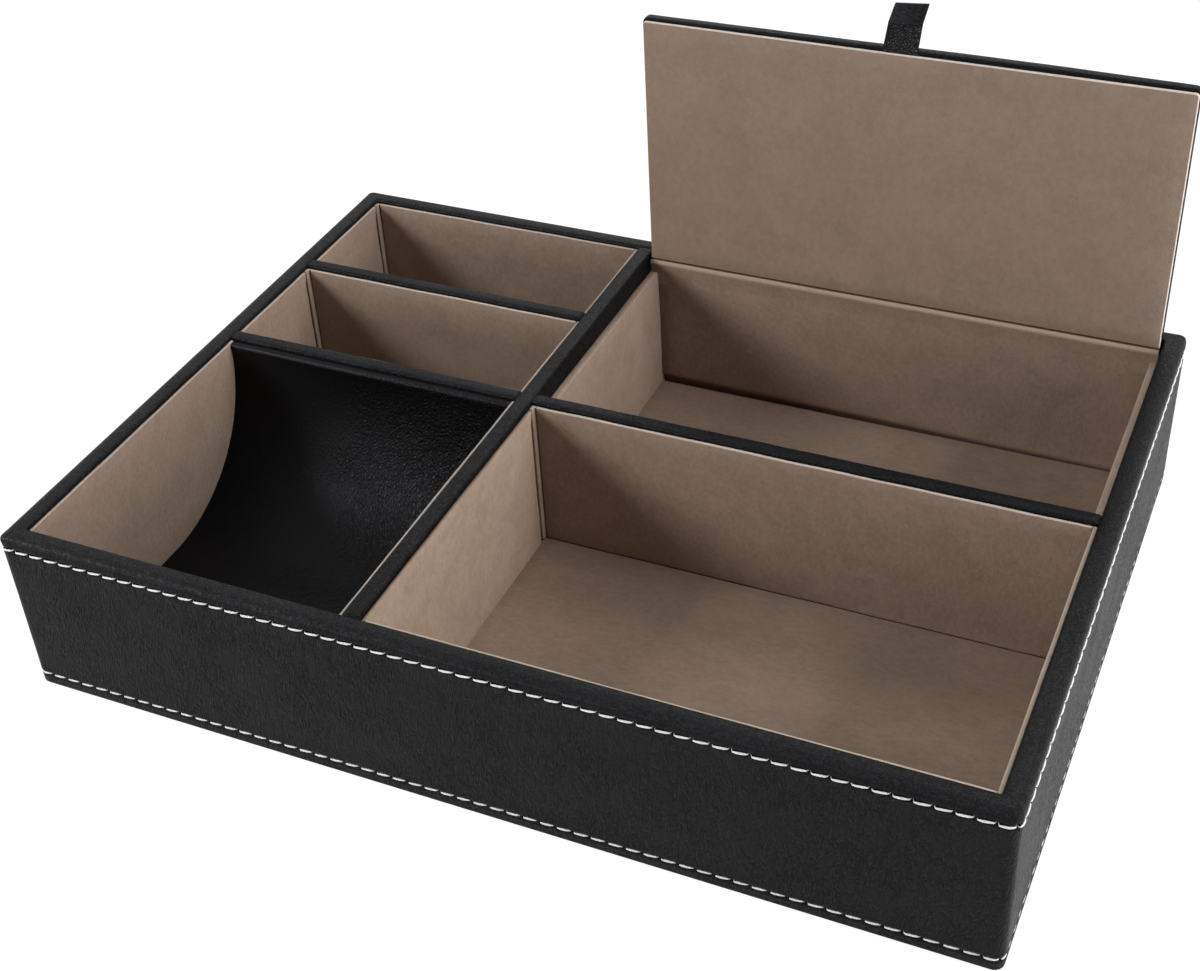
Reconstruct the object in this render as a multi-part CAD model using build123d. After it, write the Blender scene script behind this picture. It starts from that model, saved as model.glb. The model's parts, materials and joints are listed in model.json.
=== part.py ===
from build123d import *
from collections import namedtuple
import math
import os

# Desktop valet box: a leather-wrapped tray on boards, with suede-lined compartments,
# a scooped well at the front left and a flap lid over the back right compartment.
# Millimetres. The origin is at the middle of the bottom, +X right, +Y back, +Z up.

# Outside of the box
box_width = 320.0
box_depth = 235.0
box_height = 62.0
corner_radius = 4.0
rim_edge_radius = 1.2
bottom_edge_radius = 0.6

# Boards and sheets
felt_thickness = 0.6
felt_inset = 5.0
leather_thickness = 0.8
turn_under = 14.0
base_board_thickness = 3.0
wall_board_thickness = 5.2
centre_board_thickness = 4.4
cross_board_thickness = 3.4
liner_thickness = 1.3
floor_liner_thickness = 1.4
scoop_card_thickness = 1.6

# Places of the dividers, from the outer left and front faces
centre_divider_from_left = 120.0
cross_divider_from_front = 122.4
rear_divider_from_front = 174.8
divider_edge_radius = 1.0

# Heights below the rim
liner_drop = 1.3
scoop_drop = 2.0
scoop_lip = 2.0
ledge_drop = 7.0

# Liners of the back right compartment, which carry the closed lid on their tops
ledge_liner_thickness = 3.1

# Thread, laid in a pressed groove round the outside
stitch_pitch = 5.5
stitch_height = 0.9
stitch_proud = 0.3
stitch_hole = 1.0
groove_depth = 0.4
thread_sunk = 0.2
top_row_below_rim = 4.4
bottom_row_height = 5.2

# Lid, drawn standing open
lid_board_thickness = 2.8
lid_suede_thickness = 0.8
lid_turn_in_thickness = 0.6
lid_turn_in_width = 8.0
lid_suede_top_inset = 1.2
lid_suede_side_inset = 0.3
lid_corner_radius = 2.0
lid_side_clearance = 0.4
lid_back_clearance = 0.4
lid_rest_clearance = 0.2
lid_rise = 6.2
hinge_depth = 3.0
hinge_strip_thickness = 1.2
hinge_strip_bulge = 0.8

# Pull tab, a folded strip at the lid's free edge
tab_width = 11.6
tab_thickness = 1.2
tab_height = 16.5
tab_bend_height = 7.0
tab_bend_angle = 15.0
tab_lean = 3.0
tab_offset = -1.2
tab_clearance = 0.3
tab_from_suede = 1.2

# Levels
felt_top = felt_thickness
base_top = felt_top + base_board_thickness
floor_top = base_top + floor_liner_thickness
liner_top = box_height - liner_drop
ledge_top = box_height - ledge_drop
board_top = box_height - leather_thickness

# Black faces that look into the compartments
wall_thickness = wall_board_thickness + 2 * leather_thickness
centre_divider_thickness = centre_board_thickness + 2 * leather_thickness
cross_divider_thickness = cross_board_thickness + 2 * leather_thickness
left_face = -box_width / 2 + wall_thickness
right_face = box_width / 2 - wall_thickness
front_face = -box_depth / 2 + wall_thickness
back_face = box_depth / 2 - wall_thickness
centre_left_face = -box_width / 2 + centre_divider_from_left
centre_right_face = centre_left_face + centre_divider_thickness
cross_front_face = -box_depth / 2 + cross_divider_from_front
cross_back_face = cross_front_face + cross_divider_thickness
rear_front_face = -box_depth / 2 + rear_divider_from_front
rear_back_face = rear_front_face + cross_divider_thickness

# Lid and tab in the open position
lid_thickness = leather_thickness + lid_board_thickness + lid_suede_thickness
lid_left = centre_right_face + lid_side_clearance
lid_right = right_face - lid_side_clearance
lid_suede_y = back_face - lid_back_clearance - lid_thickness
lid_back_y = lid_suede_y + lid_thickness
lid_bottom = ledge_top + lid_rise
hinge_y = lid_suede_y + hinge_depth
hinge_z = ledge_top + lid_rest_clearance + hinge_depth
tab_gap = tab_thickness + 2 * tab_clearance
lid_front_when_closed = cross_back_face + tab_gap
lid_top = hinge_z + (hinge_y - lid_front_when_closed)
tab_pivot_y = lid_suede_y + tab_from_suede
tab_pivot_z = lid_top + tab_clearance + tab_thickness / 2

on_table = (Align.CENTER, Align.CENTER, Align.MIN)
from_corner = (Align.MIN, Align.MIN, Align.MIN)

Bay = namedtuple("Bay", "left right front back")
back_left = Bay(left_face, centre_left_face, rear_back_face, back_face)
middle_left = Bay(left_face, centre_left_face, cross_back_face, rear_front_face)
well = Bay(left_face, centre_left_face, front_face, cross_front_face)
right_front = Bay(centre_right_face, right_face, front_face, cross_front_face)
right_back = Bay(centre_right_face, right_face, cross_back_face, back_face)


def block(x, y, z):
    """Box between two values on each axis."""
    corner = Pos(x[0], y[0], z[0])
    return corner * Box(x[1] - x[0], y[1] - y[0], z[1] - z[0], align=from_corner)


def rounded_slab(inset, z):
    """Slab with the box's outline, moved in by the inset, between two heights."""
    outline = RectangleRounded(box_width - 2 * inset, box_depth - 2 * inset, corner_radius - inset)
    return Pos(0, 0, z[0]) * extrude(outline, z[1] - z[0])


def interior(skin, z):
    """Space inside the four walls, made wider on all sides by the skin."""
    return block((left_face - skin, right_face + skin), (front_face - skin, back_face + skin), z)


def groove(z):
    """Groove pressed in the leather for a row of stitches centred at a height."""
    band = (z - stitch_height / 2, z + stitch_height / 2)
    return rounded_slab(0, band) - rounded_slab(groove_depth, band)


def stitch_holes(z):
    """Boxes at the needle holes of one row, on the four sides and at the corners."""
    holes = []
    reach = corner_radius + stitch_proud
    for length, across, turn in ((box_width, box_depth, 0), (box_depth, box_width, 90)):
        count = int((length - 2 * corner_radius) / stitch_pitch)
        for side in (-1, 1):
            for i in range(count + 1):
                spot = Pos((i - count / 2) * stitch_pitch, side * across / 2, z)
                holes.append(Rot(0, 0, turn) * spot * Box(stitch_hole, reach, 2 * stitch_height))
    for x in (-1, 1):
        for y in (-1, 1):
            middle = Pos(x * (box_width / 2 - corner_radius), y * (box_depth / 2 - corner_radius), z)
            out = Rot(0, 0, math.degrees(math.atan2(y, x))) * Pos(corner_radius, 0, 0)
            holes.append(middle * out * Box(reach, stitch_hole, 2 * stitch_height))
    return holes


def stitching(z):
    """One thread: a core along the groove, and stitches that stand out between the holes."""
    band = (z - stitch_height / 2, z + stitch_height / 2)
    bottom_of_groove = rounded_slab(groove_depth, band)
    core = rounded_slab(thread_sunk, band) - bottom_of_groove
    stitches = rounded_slab(-stitch_proud, band) - bottom_of_groove - stitch_holes(z)
    return core + stitches


def outer_leather_wrap():
    """Leather round the walls, over the rim, down the inside and turned under the base."""
    skin = leather_thickness
    walls = rounded_slab(0, (felt_top, box_height)) - interior(0, (base_top, box_height))
    rim = walls.edges().filter_by_position(Axis.Z, box_height, box_height)
    walls = fillet(rim, rim_edge_radius)
    foot = walls.edges().filter_by_position(Axis.Z, felt_top, felt_top)
    walls = fillet(foot, bottom_edge_radius)
    boards = rounded_slab(skin, (felt_top + skin, board_top))
    boards -= interior(skin, (base_top, board_top))
    under = rounded_slab(0, (felt_top, base_top)) & base_centre()
    rows = groove(box_height - top_row_below_rim) + groove(bottom_row_height)
    return walls - boards - under - rows


def base_centre():
    """Middle of the base, inside the leather that is turned under."""
    width = box_width - 2 * turn_under
    depth = box_depth - 2 * turn_under
    return Pos(0, 0, felt_top) * Box(width, depth, base_board_thickness, align=on_table)


def base_board():
    """Base board, pressed thinner round its edge where the leather is turned under."""
    return rounded_slab(leather_thickness, (felt_top + leather_thickness, base_top)) + base_centre()


def wall_boards():
    """The four wall boards: front and back run through, left and right stand between them."""
    ring = rounded_slab(leather_thickness, (base_top, board_top))
    ring -= interior(leather_thickness, (base_top, board_top))
    side = (-box_width / 2, box_width / 2)
    high = (base_top, board_top)
    inner_front = front_face - leather_thickness
    inner_back = back_face + leather_thickness
    return {
        "front_wall_board": ring & block(side, (-box_depth / 2, inner_front), high),
        "back_wall_board": ring & block(side, (inner_back, box_depth / 2), high),
        "left_wall_board": ring & block((side[0], 0), (inner_front, inner_back), high),
        "right_wall_board": ring & block((0, side[1]), (inner_front, inner_back), high),
    }


def divider(x, y, along):
    """Board of one divider and the leather folded over it, as two solids."""
    skin = leather_thickness
    cap = block(x, y, (base_top, box_height))
    top = cap.edges().filter_by(along).filter_by_position(Axis.Z, box_height, box_height)
    cap = fillet(top, divider_edge_radius)
    if along == Axis.Y:
        board = block((x[0] + skin, x[1] - skin), y, (base_top, board_top))
    else:
        board = block(x, (y[0] + skin, y[1] - skin), (base_top, board_top))
    return board, cap - board


def dividers():
    """Boards and leather of the four dividers."""
    left = (left_face, centre_left_face)
    right = (centre_right_face, right_face)
    cross = (cross_front_face, cross_back_face)
    places = {
        "centre_divider": ((left[1], right[0]), (front_face, back_face), Axis.Y),
        "left_front_divider": (left, cross, Axis.X),
        "left_rear_divider": (left, (rear_front_face, rear_back_face), Axis.X),
        "right_divider": (right, cross, Axis.X),
    }
    made = {}
    for name, place in places.items():
        made[name + "_board"], made[name + "_leather"] = divider(*place)
    return made


def bay_lining(name, bay, thickness, top):
    """Four upright liners and the floor liner of one compartment, card covered with suede."""
    high = (base_top, top)
    inner_x = (bay.left + thickness, bay.right - thickness)
    inner_y = (bay.front + thickness, bay.back - thickness)
    return {
        name + "_left_liner": block((bay.left, inner_x[0]), (bay.front, bay.back), high),
        name + "_right_liner": block((inner_x[1], bay.right), (bay.front, bay.back), high),
        name + "_front_liner": block(inner_x, (bay.front, inner_y[0]), high),
        name + "_back_liner": block(inner_x, (inner_y[1], bay.back), high),
        name + "_floor_liner": block(inner_x, inner_y, (base_top, floor_top)),
    }


def scoop_sheet(below, thickness):
    """Sheet along the scoop: flat on the floor, a quarter turn, and a short upright lip."""
    surface_z = base_top + scoop_card_thickness + leather_thickness
    surface_y = well.back - scoop_card_thickness - leather_thickness
    lip_top = box_height - scoop_drop
    centre_z = lip_top - scoop_lip
    centre_y = surface_y - (centre_z - surface_z)
    near = centre_z - surface_z + below
    far = near + thickness
    slope = math.sqrt(0.5)
    with BuildSketch(Plane.YZ.offset(well.left + liner_thickness)) as profile:
        with BuildLine():
            Polyline((centre_y, centre_z - near), (well.front, centre_z - near),
                     (well.front, centre_z - far), (centre_y, centre_z - far))
            ThreePointArc((centre_y, centre_z - far),
                          (centre_y + far * slope, centre_z - far * slope),
                          (centre_y + far, centre_z))
            Polyline((centre_y + far, centre_z), (centre_y + far, lip_top),
                     (centre_y + near, lip_top), (centre_y + near, centre_z))
            ThreePointArc((centre_y + near, centre_z),
                          (centre_y + near * slope, centre_z - near * slope),
                          (centre_y, centre_z - near))
        make_face()
    return extrude(profile.sketch, well.right - well.left - 2 * liner_thickness)


def well_parts():
    """Side liners of the well, and the scoop between them."""
    long = (well.front, well.back)
    high = (base_top, liner_top)
    return {
        "well_left_liner": block((well.left, well.left + liner_thickness), long, high),
        "well_right_liner": block((well.right - liner_thickness, well.right), long, high),
        "scoop_card": scoop_sheet(leather_thickness, scoop_card_thickness),
        "scoop_leather": scoop_sheet(0, leather_thickness),
    }


def lid_outline(inset, y):
    """Rounded plate with the open lid's outline, moved in by the inset."""
    width = lid_right - lid_left - 2 * inset
    height = lid_top - lid_bottom - 2 * inset
    middle = ((lid_left + lid_right) / 2, (lid_bottom + lid_top) / 2)
    outline = Rectangle(width, height)
    if lid_corner_radius > inset:
        outline = RectangleRounded(width, height, lid_corner_radius - inset)
    standing = Pos(middle[0], y[1], middle[1]) * Rot(90, 0, 0) * outline
    return extrude(standing, y[1] - y[0])


def lid_parts():
    """Board, leather cover and suede panel of the lid."""
    skin = leather_thickness
    board_front = lid_suede_y + lid_suede_thickness
    board_back = lid_back_y - skin
    cover = lid_outline(0, (board_front, lid_back_y))
    cover = fillet(cover.faces().sort_by(Axis.Y)[-1].edges(), skin / 2)
    pressed = (board_front, board_front + lid_turn_in_thickness)
    board = lid_outline(skin, (board_front, board_back))
    board -= lid_outline(skin, pressed) - lid_outline(lid_turn_in_width, pressed)
    suede_x = (lid_left + lid_suede_side_inset, lid_right - lid_suede_side_inset)
    suede_z = (lid_bottom, lid_top - lid_suede_top_inset)
    return {
        "lid_board": board,
        "lid_leather_cover": cover - board,
        "lid_suede_panel": block(suede_x, (lid_suede_y, board_front), suede_z),
    }


def lid_hinge_strip():
    """Suede fold from the top of the back liner to the bottom edge of the open lid."""
    foot_y = right_back.back - ledge_liner_thickness
    middle_y = (foot_y + lid_suede_y) / 2 - hinge_strip_bulge
    middle_z = (ledge_top + lid_bottom) / 2
    wide = hinge_strip_thickness
    with BuildSketch(Plane.YZ.offset(lid_left + lid_suede_side_inset)) as profile:
        with BuildLine():
            ThreePointArc((foot_y, ledge_top), (middle_y, middle_z), (lid_suede_y, lid_bottom))
            Line((lid_suede_y, lid_bottom), (lid_suede_y + wide, lid_bottom))
            ThreePointArc((lid_suede_y + wide, lid_bottom), (middle_y + wide, middle_z),
                          (foot_y + wide, ledge_top))
            Line((foot_y + wide, ledge_top), (foot_y, ledge_top))
        make_face()
    return extrude(profile.sketch, lid_right - lid_left - 2 * lid_suede_side_inset)


def pull_tab():
    """Folded strip with a rounded root, bent back at half its height and leaning sideways."""
    half = tab_thickness / 2
    turn = math.radians(tab_bend_angle)
    upper = (tab_height - tab_bend_height) / math.cos(turn)
    bend = (tab_pivot_y, tab_pivot_z + tab_bend_height)
    tip = (bend[0] + upper * math.sin(turn), bend[1] + upper * math.cos(turn))
    middle_x = (lid_left + lid_right) / 2 + tab_offset
    reach = tab_width / 2 + tab_lean
    foot_z = tab_pivot_z - half
    with BuildSketch(Plane.YZ.offset(middle_x - reach)) as profile:
        with BuildLine():
            path = Polyline((tab_pivot_y, tab_pivot_z), bend, tip)
            offset(path, half, side=Side.BOTH)
        make_face()
        with Locations((tab_pivot_y, tab_pivot_z)):
            Circle(half)
    strip = extrude(profile.sketch, 2 * reach)
    shift = tab_lean * (tip[1] + half - foot_z) / tab_height
    outline = Polyline((-tab_width / 2, foot_z), (tab_width / 2, foot_z),
                       (tab_width / 2 + shift, tip[1] + half), (shift - tab_width / 2, tip[1] + half),
                       close=True)
    face = Pos(middle_x, tip[0] + tab_height, 0) * Rot(90, 0, 0) * make_face(outline)
    return strip & extrude(face, 2 * tab_height)


def base_felt():
    """Thin felt under the base, the only thing that touches the table."""
    width = box_width - 2 * felt_inset
    depth = box_depth - 2 * felt_inset
    return Box(width, depth, felt_thickness, align=on_table)


nodes = {
    "base_felt": base_felt(),
    "base_board": base_board(),
    "outer_leather_wrap": outer_leather_wrap(),
    "top_stitching": stitching(box_height - top_row_below_rim),
    "bottom_stitching": stitching(bottom_row_height),
    "lid_hinge_strip": lid_hinge_strip(),
    "pull_tab": pull_tab(),
}
nodes.update(wall_boards())
nodes.update(dividers())
nodes.update(well_parts())
nodes.update(bay_lining("back_left", back_left, liner_thickness, liner_top))
nodes.update(bay_lining("middle_left", middle_left, liner_thickness, liner_top))
nodes.update(bay_lining("right_front", right_front, liner_thickness, liner_top))
nodes.update(bay_lining("right_back", right_back, ledge_liner_thickness, ledge_top))
nodes.update(lid_parts())

for name, solid in nodes.items():
    export_step(solid, f"parts/{name}.step")

print("nodes:", len(nodes))
print("lid hinge at y, z:", round(hinge_y, 3), round(hinge_z, 3))
print("tab pivot at y, z:", round(tab_pivot_y, 3), round(tab_pivot_z, 3))
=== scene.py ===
"""Looks of the desktop valet box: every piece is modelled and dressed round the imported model.

Metres, in the row frame: the origin at the middle of the underside, +X to the right,
+Y to the back, +Z up. The lid stands open at rest.
"""
import json
import logging
import math
from collections.abc import Callable, Iterable, Iterator
from contextlib import contextmanager
from dataclasses import dataclass, field
from enum import Enum
from functools import cache
from typing import Any, ClassVar, Union

import bmesh
import bpy
from mathutils import Matrix, Vector, kdtree, noise


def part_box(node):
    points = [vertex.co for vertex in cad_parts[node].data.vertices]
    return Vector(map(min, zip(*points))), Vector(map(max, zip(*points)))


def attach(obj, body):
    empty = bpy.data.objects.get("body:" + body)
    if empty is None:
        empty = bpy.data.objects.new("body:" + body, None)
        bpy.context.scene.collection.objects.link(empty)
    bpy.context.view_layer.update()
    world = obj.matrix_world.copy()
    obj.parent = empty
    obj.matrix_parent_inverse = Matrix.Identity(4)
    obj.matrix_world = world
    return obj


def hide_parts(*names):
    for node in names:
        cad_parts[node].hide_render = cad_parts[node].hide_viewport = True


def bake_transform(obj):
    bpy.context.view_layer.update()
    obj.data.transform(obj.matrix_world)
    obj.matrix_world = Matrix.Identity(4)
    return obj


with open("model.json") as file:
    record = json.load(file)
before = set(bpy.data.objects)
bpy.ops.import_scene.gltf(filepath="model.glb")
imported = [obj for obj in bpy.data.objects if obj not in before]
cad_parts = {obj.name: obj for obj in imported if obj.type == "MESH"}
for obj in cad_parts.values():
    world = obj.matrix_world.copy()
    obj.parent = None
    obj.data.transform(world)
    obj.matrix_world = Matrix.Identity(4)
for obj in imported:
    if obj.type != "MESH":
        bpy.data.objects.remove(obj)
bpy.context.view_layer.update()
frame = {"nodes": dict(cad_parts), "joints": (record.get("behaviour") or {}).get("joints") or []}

MM = 0.001
HAIR = 0.01 * MM
SHARP = 0.5
X, Y, Z = 0, 1, 2
UNITS = (Vector((1, 0, 0)), Vector((0, 1, 0)), Vector((0, 0, 1)))
PANEL_WAVES = (24 * MM, 0.13 * MM)
log = logging.getLogger("valet_box")
Colour = tuple[float, float, float]
Cell = tuple[float, float, float]
Span = tuple[float, float]
Test = Callable[[Any], bool]


class Body(Enum):
    """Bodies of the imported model."""

    BOX = "box"
    LID = "lid"
    TAB = "tab"


class Slot(Enum):
    """Material slots of the record."""

    BLACK_LEATHER = "black_leather"
    SCOOP_LEATHER = "scoop_leather"
    TAB_LEATHER = "tab_leather"
    THREAD = "white_thread"
    SUEDE = "suede"
    LID_SUEDE = "lid_suede"
    FLOOR_SUEDE = "floor_suede"
    FELT = "base_felt"


class Part(Enum):
    """Kinds of mesh element, by the word that the select mode has for them."""

    EDGES = "EDGE"
    FACES = "FACE"


def unevenness(point: Vector, wavelength: float, height: float) -> float:
    """Smooth unevenness of a surface covered by hand, the same at each run.

    Args:
        point: Where on the object, in metres.
        wavelength: Rough distance between two bulges.
        height: Most that the surface may stand off its plain shape.

    Returns:
        Distance off the plain shape, positive outwards.
    """
    return noise.noise(point / wavelength) * height


def clamped(value: float) -> float:
    """Value kept between 0 and 1."""
    return min(1.0, max(0.0, value))


def smooth(value: float, low: float, high: float) -> float:
    """Share from 0 to 1 of the way from low to high, with soft ends."""
    share = clamped((value - low) / (high - low))
    return share * share * (3 - 2 * share)


def bell(distance: float, width: float) -> float:
    """Bell curve of height 1 with the given half width."""
    return math.exp(-(distance / width) ** 2)


def direction(azimuth: float, elevation: float) -> Vector:
    """Direction of a place round the box.

    Args:
        azimuth: Angle anticlockwise from +X, in degrees.
        elevation: Angle above the horizon, in degrees.

    Returns:
        Vector of length 1.
    """
    around, above = math.radians(azimuth), math.radians(elevation)
    level = math.cos(above)
    return Vector((math.cos(around) * level, math.sin(around) * level, math.sin(above)))


def running(axis: int, least: float) -> Test:
    """Test for the edges whose ends are farther apart on an axis than a length."""
    return lambda e: abs(e.verts[0].co[axis] - e.verts[1].co[axis]) > least


def beyond(axis: int, place: float) -> Test:
    """Test for the edges that lie past a place on an axis."""
    return lambda e: all(v.co[axis] > place for v in e.verts)


def short_of(axis: int, place: float) -> Test:
    """Test for the edges that lie before a place on an axis."""
    return lambda e: all(v.co[axis] < place for v in e.verts)


def is_sharp(edge: bmesh.types.BMEdge) -> bool:
    """Say if two faces meet at an edge with a clear angle."""
    return edge.calc_face_angle(0) > SHARP


@dataclass(frozen=True)
class Space:
    """Box between two corners, in metres.

    Args:
        low: Lowest corner.
        high: Highest corner.
    """

    low: Vector
    high: Vector

    @classmethod
    def of(cls, node: str) -> "Space":
        """Space that a CAD node takes up at rest."""
        return cls(*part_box(node))

    @property
    def middle(self) -> Vector:
        """Middle of the space."""
        return (self.low + self.high) / 2

    def span(self, axis: int) -> float:
        """Length along an axis."""
        return self.high[axis] - self.low[axis]

    def share(self, axis: int, place: float) -> float:
        """How far along an axis a place lies, from 0 to 1."""
        return (place - self.low[axis]) / self.span(axis)

    def places(self, axis: int, length: float) -> list[float]:
        """Evenly spaced places inside the space, about a length apart."""
        count = max(2, round(self.span(axis) / length))
        return [self.low[axis] + self.span(axis) * i / count for i in range(1, count)]

    def moved(self, low: Iterable[float] = (0, 0, 0), high: Iterable[float] = (0, 0, 0)) -> "Space":
        """Space with its corners moved by the given amounts."""
        return Space(self.low + Vector(low), self.high + Vector(high))


Operand = Union["Value", float]


def operator(kind: str, turned: bool = False) -> Callable[["Value", Operand], "Value"]:
    """Make a method that adds one Math node.

    Args:
        kind: Operation of the node.
        turned: Whether the other operand comes first.

    Returns:
        The method.
    """

    def method(self: "Value", other: Operand) -> "Value":
        """Result of the new node."""
        first, second = (other, self) if turned else (self, other)
        return self.nodes.node("ShaderNodeMath", {"operation": kind}, {0: first, 1: second})

    return method


@dataclass
class Value:
    """Output socket of a node, for use in expressions.

    Args:
        nodes: Tree that the socket is in.
        socket: The output socket.
    """

    nodes: "Nodes"
    socket: bpy.types.NodeSocket

    __add__ = operator("ADD")
    __radd__ = operator("ADD", turned=True)
    __sub__ = operator("SUBTRACT")
    __rsub__ = operator("SUBTRACT", turned=True)
    __mul__ = operator("MULTIPLY")
    __rmul__ = operator("MULTIPLY", turned=True)
    most = operator("MAXIMUM")

    def __abs__(self) -> "Value":
        """Value without its sign."""
        return self.nodes.node("ShaderNodeMath", {"operation": "ABSOLUTE"}, {0: self})


class Nodes:
    """Node tree that is built from Python.

    Args:
        tree: The tree.
    """

    def __init__(self, tree: bpy.types.NodeTree) -> None:
        """Keep the tree."""
        self.tree = tree

    def node(
        self,
        kind: str,
        settings: dict[str, Any] | None = None,
        sockets: dict[str | int, Any] | None = None,
        output: str | int = 0,
    ) -> Value:
        """Make one node.

        Args:
            kind: Type of the node.
            settings: Attributes, which are set first.
            sockets: Number, colour, vector or link for each input.
            output: Which output the result is.

        Returns:
            The chosen output.
        """
        made = self.tree.nodes.new(kind)
        for name, value in (settings or {}).items():
            setattr(made, name, value)
        for name, value in (sockets or {}).items():
            if isinstance(value, Value):
                self.tree.links.new(value.socket, made.inputs[name])
            else:
                made.inputs[name].default_value = value
        return Value(self, made.outputs[output])

    def show(self, end: str, shade: Value) -> None:
        """Link a shader to the surface of the tree's end."""
        self.tree.links.new(shade.socket, self.tree.nodes[end].inputs["Surface"])

    def mixed(self, share: Value, first: Value, second: Value) -> Value:
        """Shader between two shaders."""
        return self.node("ShaderNodeMixShader", sockets={0: share, 1: first, 2: second})


class Shader(Nodes):
    """Material with one Principled surface, whose nodes are built from Python.

    Args:
        name: Name of the material.
        constants: What each socket holds that is the same all over the surface.
    """

    def __init__(self, name: str, constants: dict[str, Any]) -> None:
        """Make the material and set the constants."""
        self.material = bpy.data.materials.new(name)
        self.material.use_nodes = True
        super().__init__(self.material.node_tree)
        self.surface = self.tree.nodes["Principled BSDF"]
        for socket, value in constants.items():
            self.surface.inputs[socket].default_value = value

    def feed(self, socket: str, value: Value) -> None:
        """Link a value to a socket of the surface."""
        self.tree.links.new(value.socket, self.surface.inputs[socket])

    def axis(self, letter: str) -> Value:
        """Object coordinate along one axis."""
        where = self.node("ShaderNodeTexCoord", output="Object")
        return self.node("ShaderNodeSeparateXYZ", sockets={0: where}, output=letter)

    def place(self, cell: Iterable[float], tilt: float = 0.0) -> Value:
        """Object coordinates in which one unit is a cell of the given size along each axis.

        Args:
            cell: Size of a cell along X, Y and Z.
            tilt: Turn about the Y axis before that, in degrees.

        Returns:
            The coordinates.
        """
        where = self.node("ShaderNodeTexCoord", output="Object")
        if tilt:
            turned = {"Vector": where, "Rotation": (0, math.radians(tilt), 0)}
            where = self.node("ShaderNodeMapping", sockets=turned)
        scale = tuple(1 / size for size in cell)
        return self.node("ShaderNodeMapping", sockets={"Vector": where, "Scale": scale})

    def noise(
        self, where: Value, detail: float = 2, roughness: float = 0.5, distortion: float = 0
    ) -> Value:
        """Soft noise with about one bump in each cell.

        Args:
            where: Coordinates.
            detail: Number of finer layers.
            roughness: Strength of those layers.
            distortion: How far the noise is pushed about.

        Returns:
            Value from 0 to 1.
        """
        look = {"Detail": detail, "Roughness": roughness, "Distortion": distortion}
        return self.node("ShaderNodeTexNoise", sockets={"Vector": where, "Scale": 1.0} | look)

    def blotches(self, *cell: float, **look: float) -> Value:
        """Soft noise in cells of the given size, which is one length or one for each axis."""
        return self.noise(self.place(cell if len(cell) > 1 else cell * 3), **look)

    def gaps(self, where: Value) -> Value:
        """Distance from the nearest gap between scattered cells."""
        sockets = {"Vector": where, "Scale": 1.0, "Randomness": 1.0}
        return self.node("ShaderNodeTexVoronoi", {"feature": "DISTANCE_TO_EDGE"}, sockets, "Distance")

    def warp(self, where: Value, by: Value, amount: float) -> Value:
        """Coordinates pushed about by a colour or vector."""
        pushed = self.node("ShaderNodeVectorMath", {"operation": "SCALE"}, {"Vector": by, "Scale": amount})
        return self.node("ShaderNodeVectorMath", {"operation": "ADD"}, {0: where, 1: pushed})

    def spread(self, value: Value, low: float, high: float) -> Value:
        """Value stretched so that low becomes 0 and high becomes 1, with soft ends."""
        sockets = {"Value": value, "From Min": low, "From Max": high}
        return self.node("ShaderNodeMapRange", {"interpolation_type": "SMOOTHSTEP"}, sockets)

    def blend(self, factor: Operand, low: Union[Value, Colour], high: Union[Value, Colour]) -> Value:
        """Colour between two colours."""
        first, second = (end if isinstance(end, Value) else (*end, 1) for end in (low, high))
        return self.node("ShaderNodeMix", {"data_type": "RGBA"}, {0: factor, 6: first, 7: second}, 2)

    def coat(self, colour: Value, roughness: Value, height: Value, depth: float) -> None:
        """Give the surface its colour, its roughness and its relief.

        Args:
            colour: Base colour.
            roughness: Roughness.
            height: Height pattern from 0 to 1.
            depth: Depth of the relief that it makes.
        """
        self.feed("Base Color", colour)
        self.feed("Roughness", roughness)
        relief = {"Strength": 1.0, "Distance": depth, "Height": height}
        self.feed("Normal", self.node("ShaderNodeBump", sockets=relief))


@dataclass(frozen=True)
class Finish:
    """Finish of a surface, made into a material when it is first used.

    Args:
        name: Name of the material.
    """

    name: str = "finish"

    @cache
    def material(self) -> bpy.types.Material:
        """Make the material.

        Returns:
            The finished material, the same one each time.
        """
        shader = Shader(self.name, self._constants())
        self._paint(shader)
        return shader.material

    def _constants(self) -> dict[str, Any]:
        """What the surface's sockets hold that is the same all over."""
        raise NotImplementedError

    def _paint(self, shader: Shader) -> None:
        """Feed the surface what varies over it."""
        raise NotImplementedError


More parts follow.
